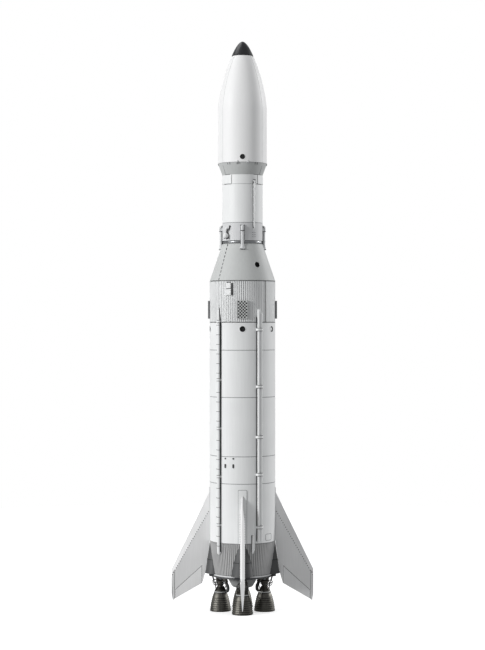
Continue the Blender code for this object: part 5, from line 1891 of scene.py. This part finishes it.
    def plumbing(self, side, matrix):
        """Add the valves and thin pipes around the chamber."""
        bm = bmesh.new()
        paths = [
            (
                [(-0.30, 0.235, -0.18), (-0.24, 0.30, -0.17), (-0.12, 0.27, -0.15), (-0.08, 0.20, -0.15)],
                0.026
            ),
            (
                [(-0.36, 0.12, -0.28), (-0.33, 0.02, -0.36), (-0.30, -0.12, -0.52), (-0.26, -0.18, -0.62)],
                0.024
            ),
            ([(0.02, -0.22, -0.20), (0.02, -0.31, -0.22), (0.02, -0.33, -0.45), (0.02, -0.29, -0.66)], 0.024),
            (
                [
                    (0.20, -0.12, -0.15), (0.40, -0.15, -0.08), (0.47, -0.16, -0.22), (0.36, -0.14, -0.30),
                    (0.21, -0.1, -0.31)
                ],
                0.026
            ),
            ([(0.44, -0.16, -0.18), (0.45, -0.16, -0.34), (0.34, -0.14, -0.45), (0.16, -0.08, -0.44)], 0.020),
        ]
        for sign in (-1.0, 1.0):
            paths.append(
                (
                    [
                        (0.17, sign * 0.13, -0.16), (0.27, sign * 0.19, -0.20), (0.31, sign * 0.20, -0.42),
                        (0.27, sign * 0.17, -0.62)
                    ],
                    0.017
                )
            )
            middle = Vector((0.298, sign * 0.196, -0.30))
            pipe(bm, [middle + Vector((0.0, 0.0, 0.035)), middle - Vector((0.0, 0.0, 0.035))], 0.034, 12, 1)
        for path, size in paths:
            pipe(bm, bend(path), size, 10)
        pipe(bm, [(0.02, -0.315, -0.29), (0.02, -0.325, -0.37)], 0.042, 12, 1)
        kinds = ["machined_steel", "heat_grey_enamel"]
        body = "engine_" + side
        piece(bm, body + "_pipes", kinds, (), matrix, body=body)


# Studio

# The camera: its lens in millimetres, and its distance from the rocket's axis and its height in metres
CAMERA_LENS, CAMERA_DISTANCE, CAMERA_HEIGHT = 96.6, 101.3, 16.58
FLOOR_RADIUS = 60.0


class ROCKET_OT_studio(bpy.types.Operator):
    """Set the pale floor, the soft lights, the white background and the camera"""

    bl_idname = "rocket.studio"
    bl_label = "Studio"

    def execute(self, context):
        scene = context.scene
        scene.view_settings.view_transform = "Standard"
        scene.view_settings.look = "None"
        self.floor()
        self.world(scene)
        self.sun("key_light", -62.0, 15.0, 2.25, 12.0)
        self.sun("fill_light", 116.0, 17.0, 1.85, 12.0)
        self.sun("gloss_light", -110.0, 59.0, 1.0, 40.0).visible_diffuse = False
        self.camera(scene)
        return {"FINISHED"}

    def floor(self):
        """Lay a white paper floor that stays as bright as the background."""
        material, _, shader, _ = new_material("white_studio_floor")
        shader.inputs["Base Color"].default_value = (0.9, 0.9, 0.9, 1.0)
        shader.inputs["Roughness"].default_value = 0.9
        shader.inputs["Emission Color"].default_value = (1.0, 1.0, 1.0, 1.0)
        shader.inputs["Emission Strength"].default_value = 0.55
        bm = bmesh.new()
        lathe(bm, [(FLOOR_RADIUS, -0.05), (FLOOR_RADIUS, 0.0)], 96)
        mesh = mesh_of(bm, "studio_floor")
        mesh.materials.append(material)
        floor = add_object("studio_floor", mesh)
        floor.visible_diffuse = False
        floor.visible_glossy = False

    def world(self, scene):
        """Make the room: an even soft glow on the rocket and plain white behind it."""
        room = bpy.data.worlds.new("studio_room")
        room.use_nodes = True
        tree = room.node_tree
        tree.nodes.clear()
        glow = add_node(tree, "ShaderNodeBackground", {"Color": (0.98, 0.99, 1.0, 1.0), "Strength": 0.41})
        paper = add_node(tree, "ShaderNodeBackground", {"Color": (1.0, 1.0, 1.0, 1.0), "Strength": 1.0})
        path = add_node(tree, "ShaderNodeLightPath")
        mix = add_node(
            tree,
            "ShaderNodeMixShader",
            links={0: path.outputs["Is Camera Ray"], 1: glow.outputs[0], 2: paper.outputs[0]},
        )
        add_node(tree, "ShaderNodeOutputWorld", links={"Surface": mix.outputs[0]})
        scene.world = room

    def sun(self, name, azimuth, elevation, strength, softness):
        """Add a wide soft light; its azimuth is where it stands, turned as the pieces are."""
        data = bpy.data.lights.new(name, "SUN")
        data.energy = strength
        data.angle = math.radians(softness)
        light = add_object(name, data)
        turn = math.radians(azimuth - 90.0)
        rise = math.radians(elevation)
        from_middle = Vector(
            (math.cos(turn) * math.cos(rise), math.sin(turn) * math.cos(rise), math.sin(rise))
        )
        light.rotation_euler = from_middle.to_track_quat("Z", "Y").to_euler()
        light.location = from_middle * 60.0
        return light

    def camera(self, scene):
        """Stand a long lens level in front of the rocket."""
        data = bpy.data.cameras.new("camera")
        data.lens = CAMERA_LENS
        data.sensor_fit = "VERTICAL"
        data.sensor_height = 36.0
        data.clip_end = 1000.0
        camera = add_object("camera", data)
        camera.location = (0.0, -CAMERA_DISTANCE, CAMERA_HEIGHT)
        camera.rotation_euler = (math.radians(90.0), 0.0, 0.0)
        scene.camera = camera


# Panel and start

PIECE_OPERATORS = (
    ROCKET_OT_tank_sections,
    ROCKET_OT_forward_skirt,
    ROCKET_OT_cable_ducts,
    ROCKET_OT_interstage,
    ROCKET_OT_second_stage,
    ROCKET_OT_nose,
    ROCKET_OT_aft_section,
    ROCKET_OT_fins,
    ROCKET_OT_engines,
    ROCKET_OT_studio,
)


class ROCKET_PT_builder(bpy.types.Panel):
    """Sizes, colours and build steps of the rocket"""

    bl_label = "Space rocket"
    bl_idname = "ROCKET_PT_builder"
    bl_space_type = "VIEW_3D"
    bl_region_type = "UI"
    bl_category = "Rocket"

    def draw(self, context):
        layout = self.layout
        for group in (context.scene.rocket_sizes, context.scene.rocket_colours):
            box = layout.box()
            for name in group.__annotations__:
                box.prop(group, name)
        for operator in PIECE_OPERATORS:
            layout.operator(operator.bl_idname)


CLASSES = (RocketSizes, RocketColours, *PIECE_OPERATORS, ROCKET_PT_builder)


def register():
    for one in CLASSES:
        bpy.utils.register_class(one)
    bpy.types.Scene.rocket_sizes = bpy.props.PointerProperty(type=RocketSizes)
    bpy.types.Scene.rocket_colours = bpy.props.PointerProperty(type=RocketColours)


def unregister():
    del bpy.types.Scene.rocket_colours
    del bpy.types.Scene.rocket_sizes
    for one in reversed(CLASSES):
        bpy.utils.unregister_class(one)


def main():
    """Build every piece and the studio."""
    register()
    for operator in PIECE_OPERATORS:
        group, name = operator.bl_idname.split(".")
        getattr(getattr(bpy.ops, group), name)()


if __name__ == "__main__":
    main()
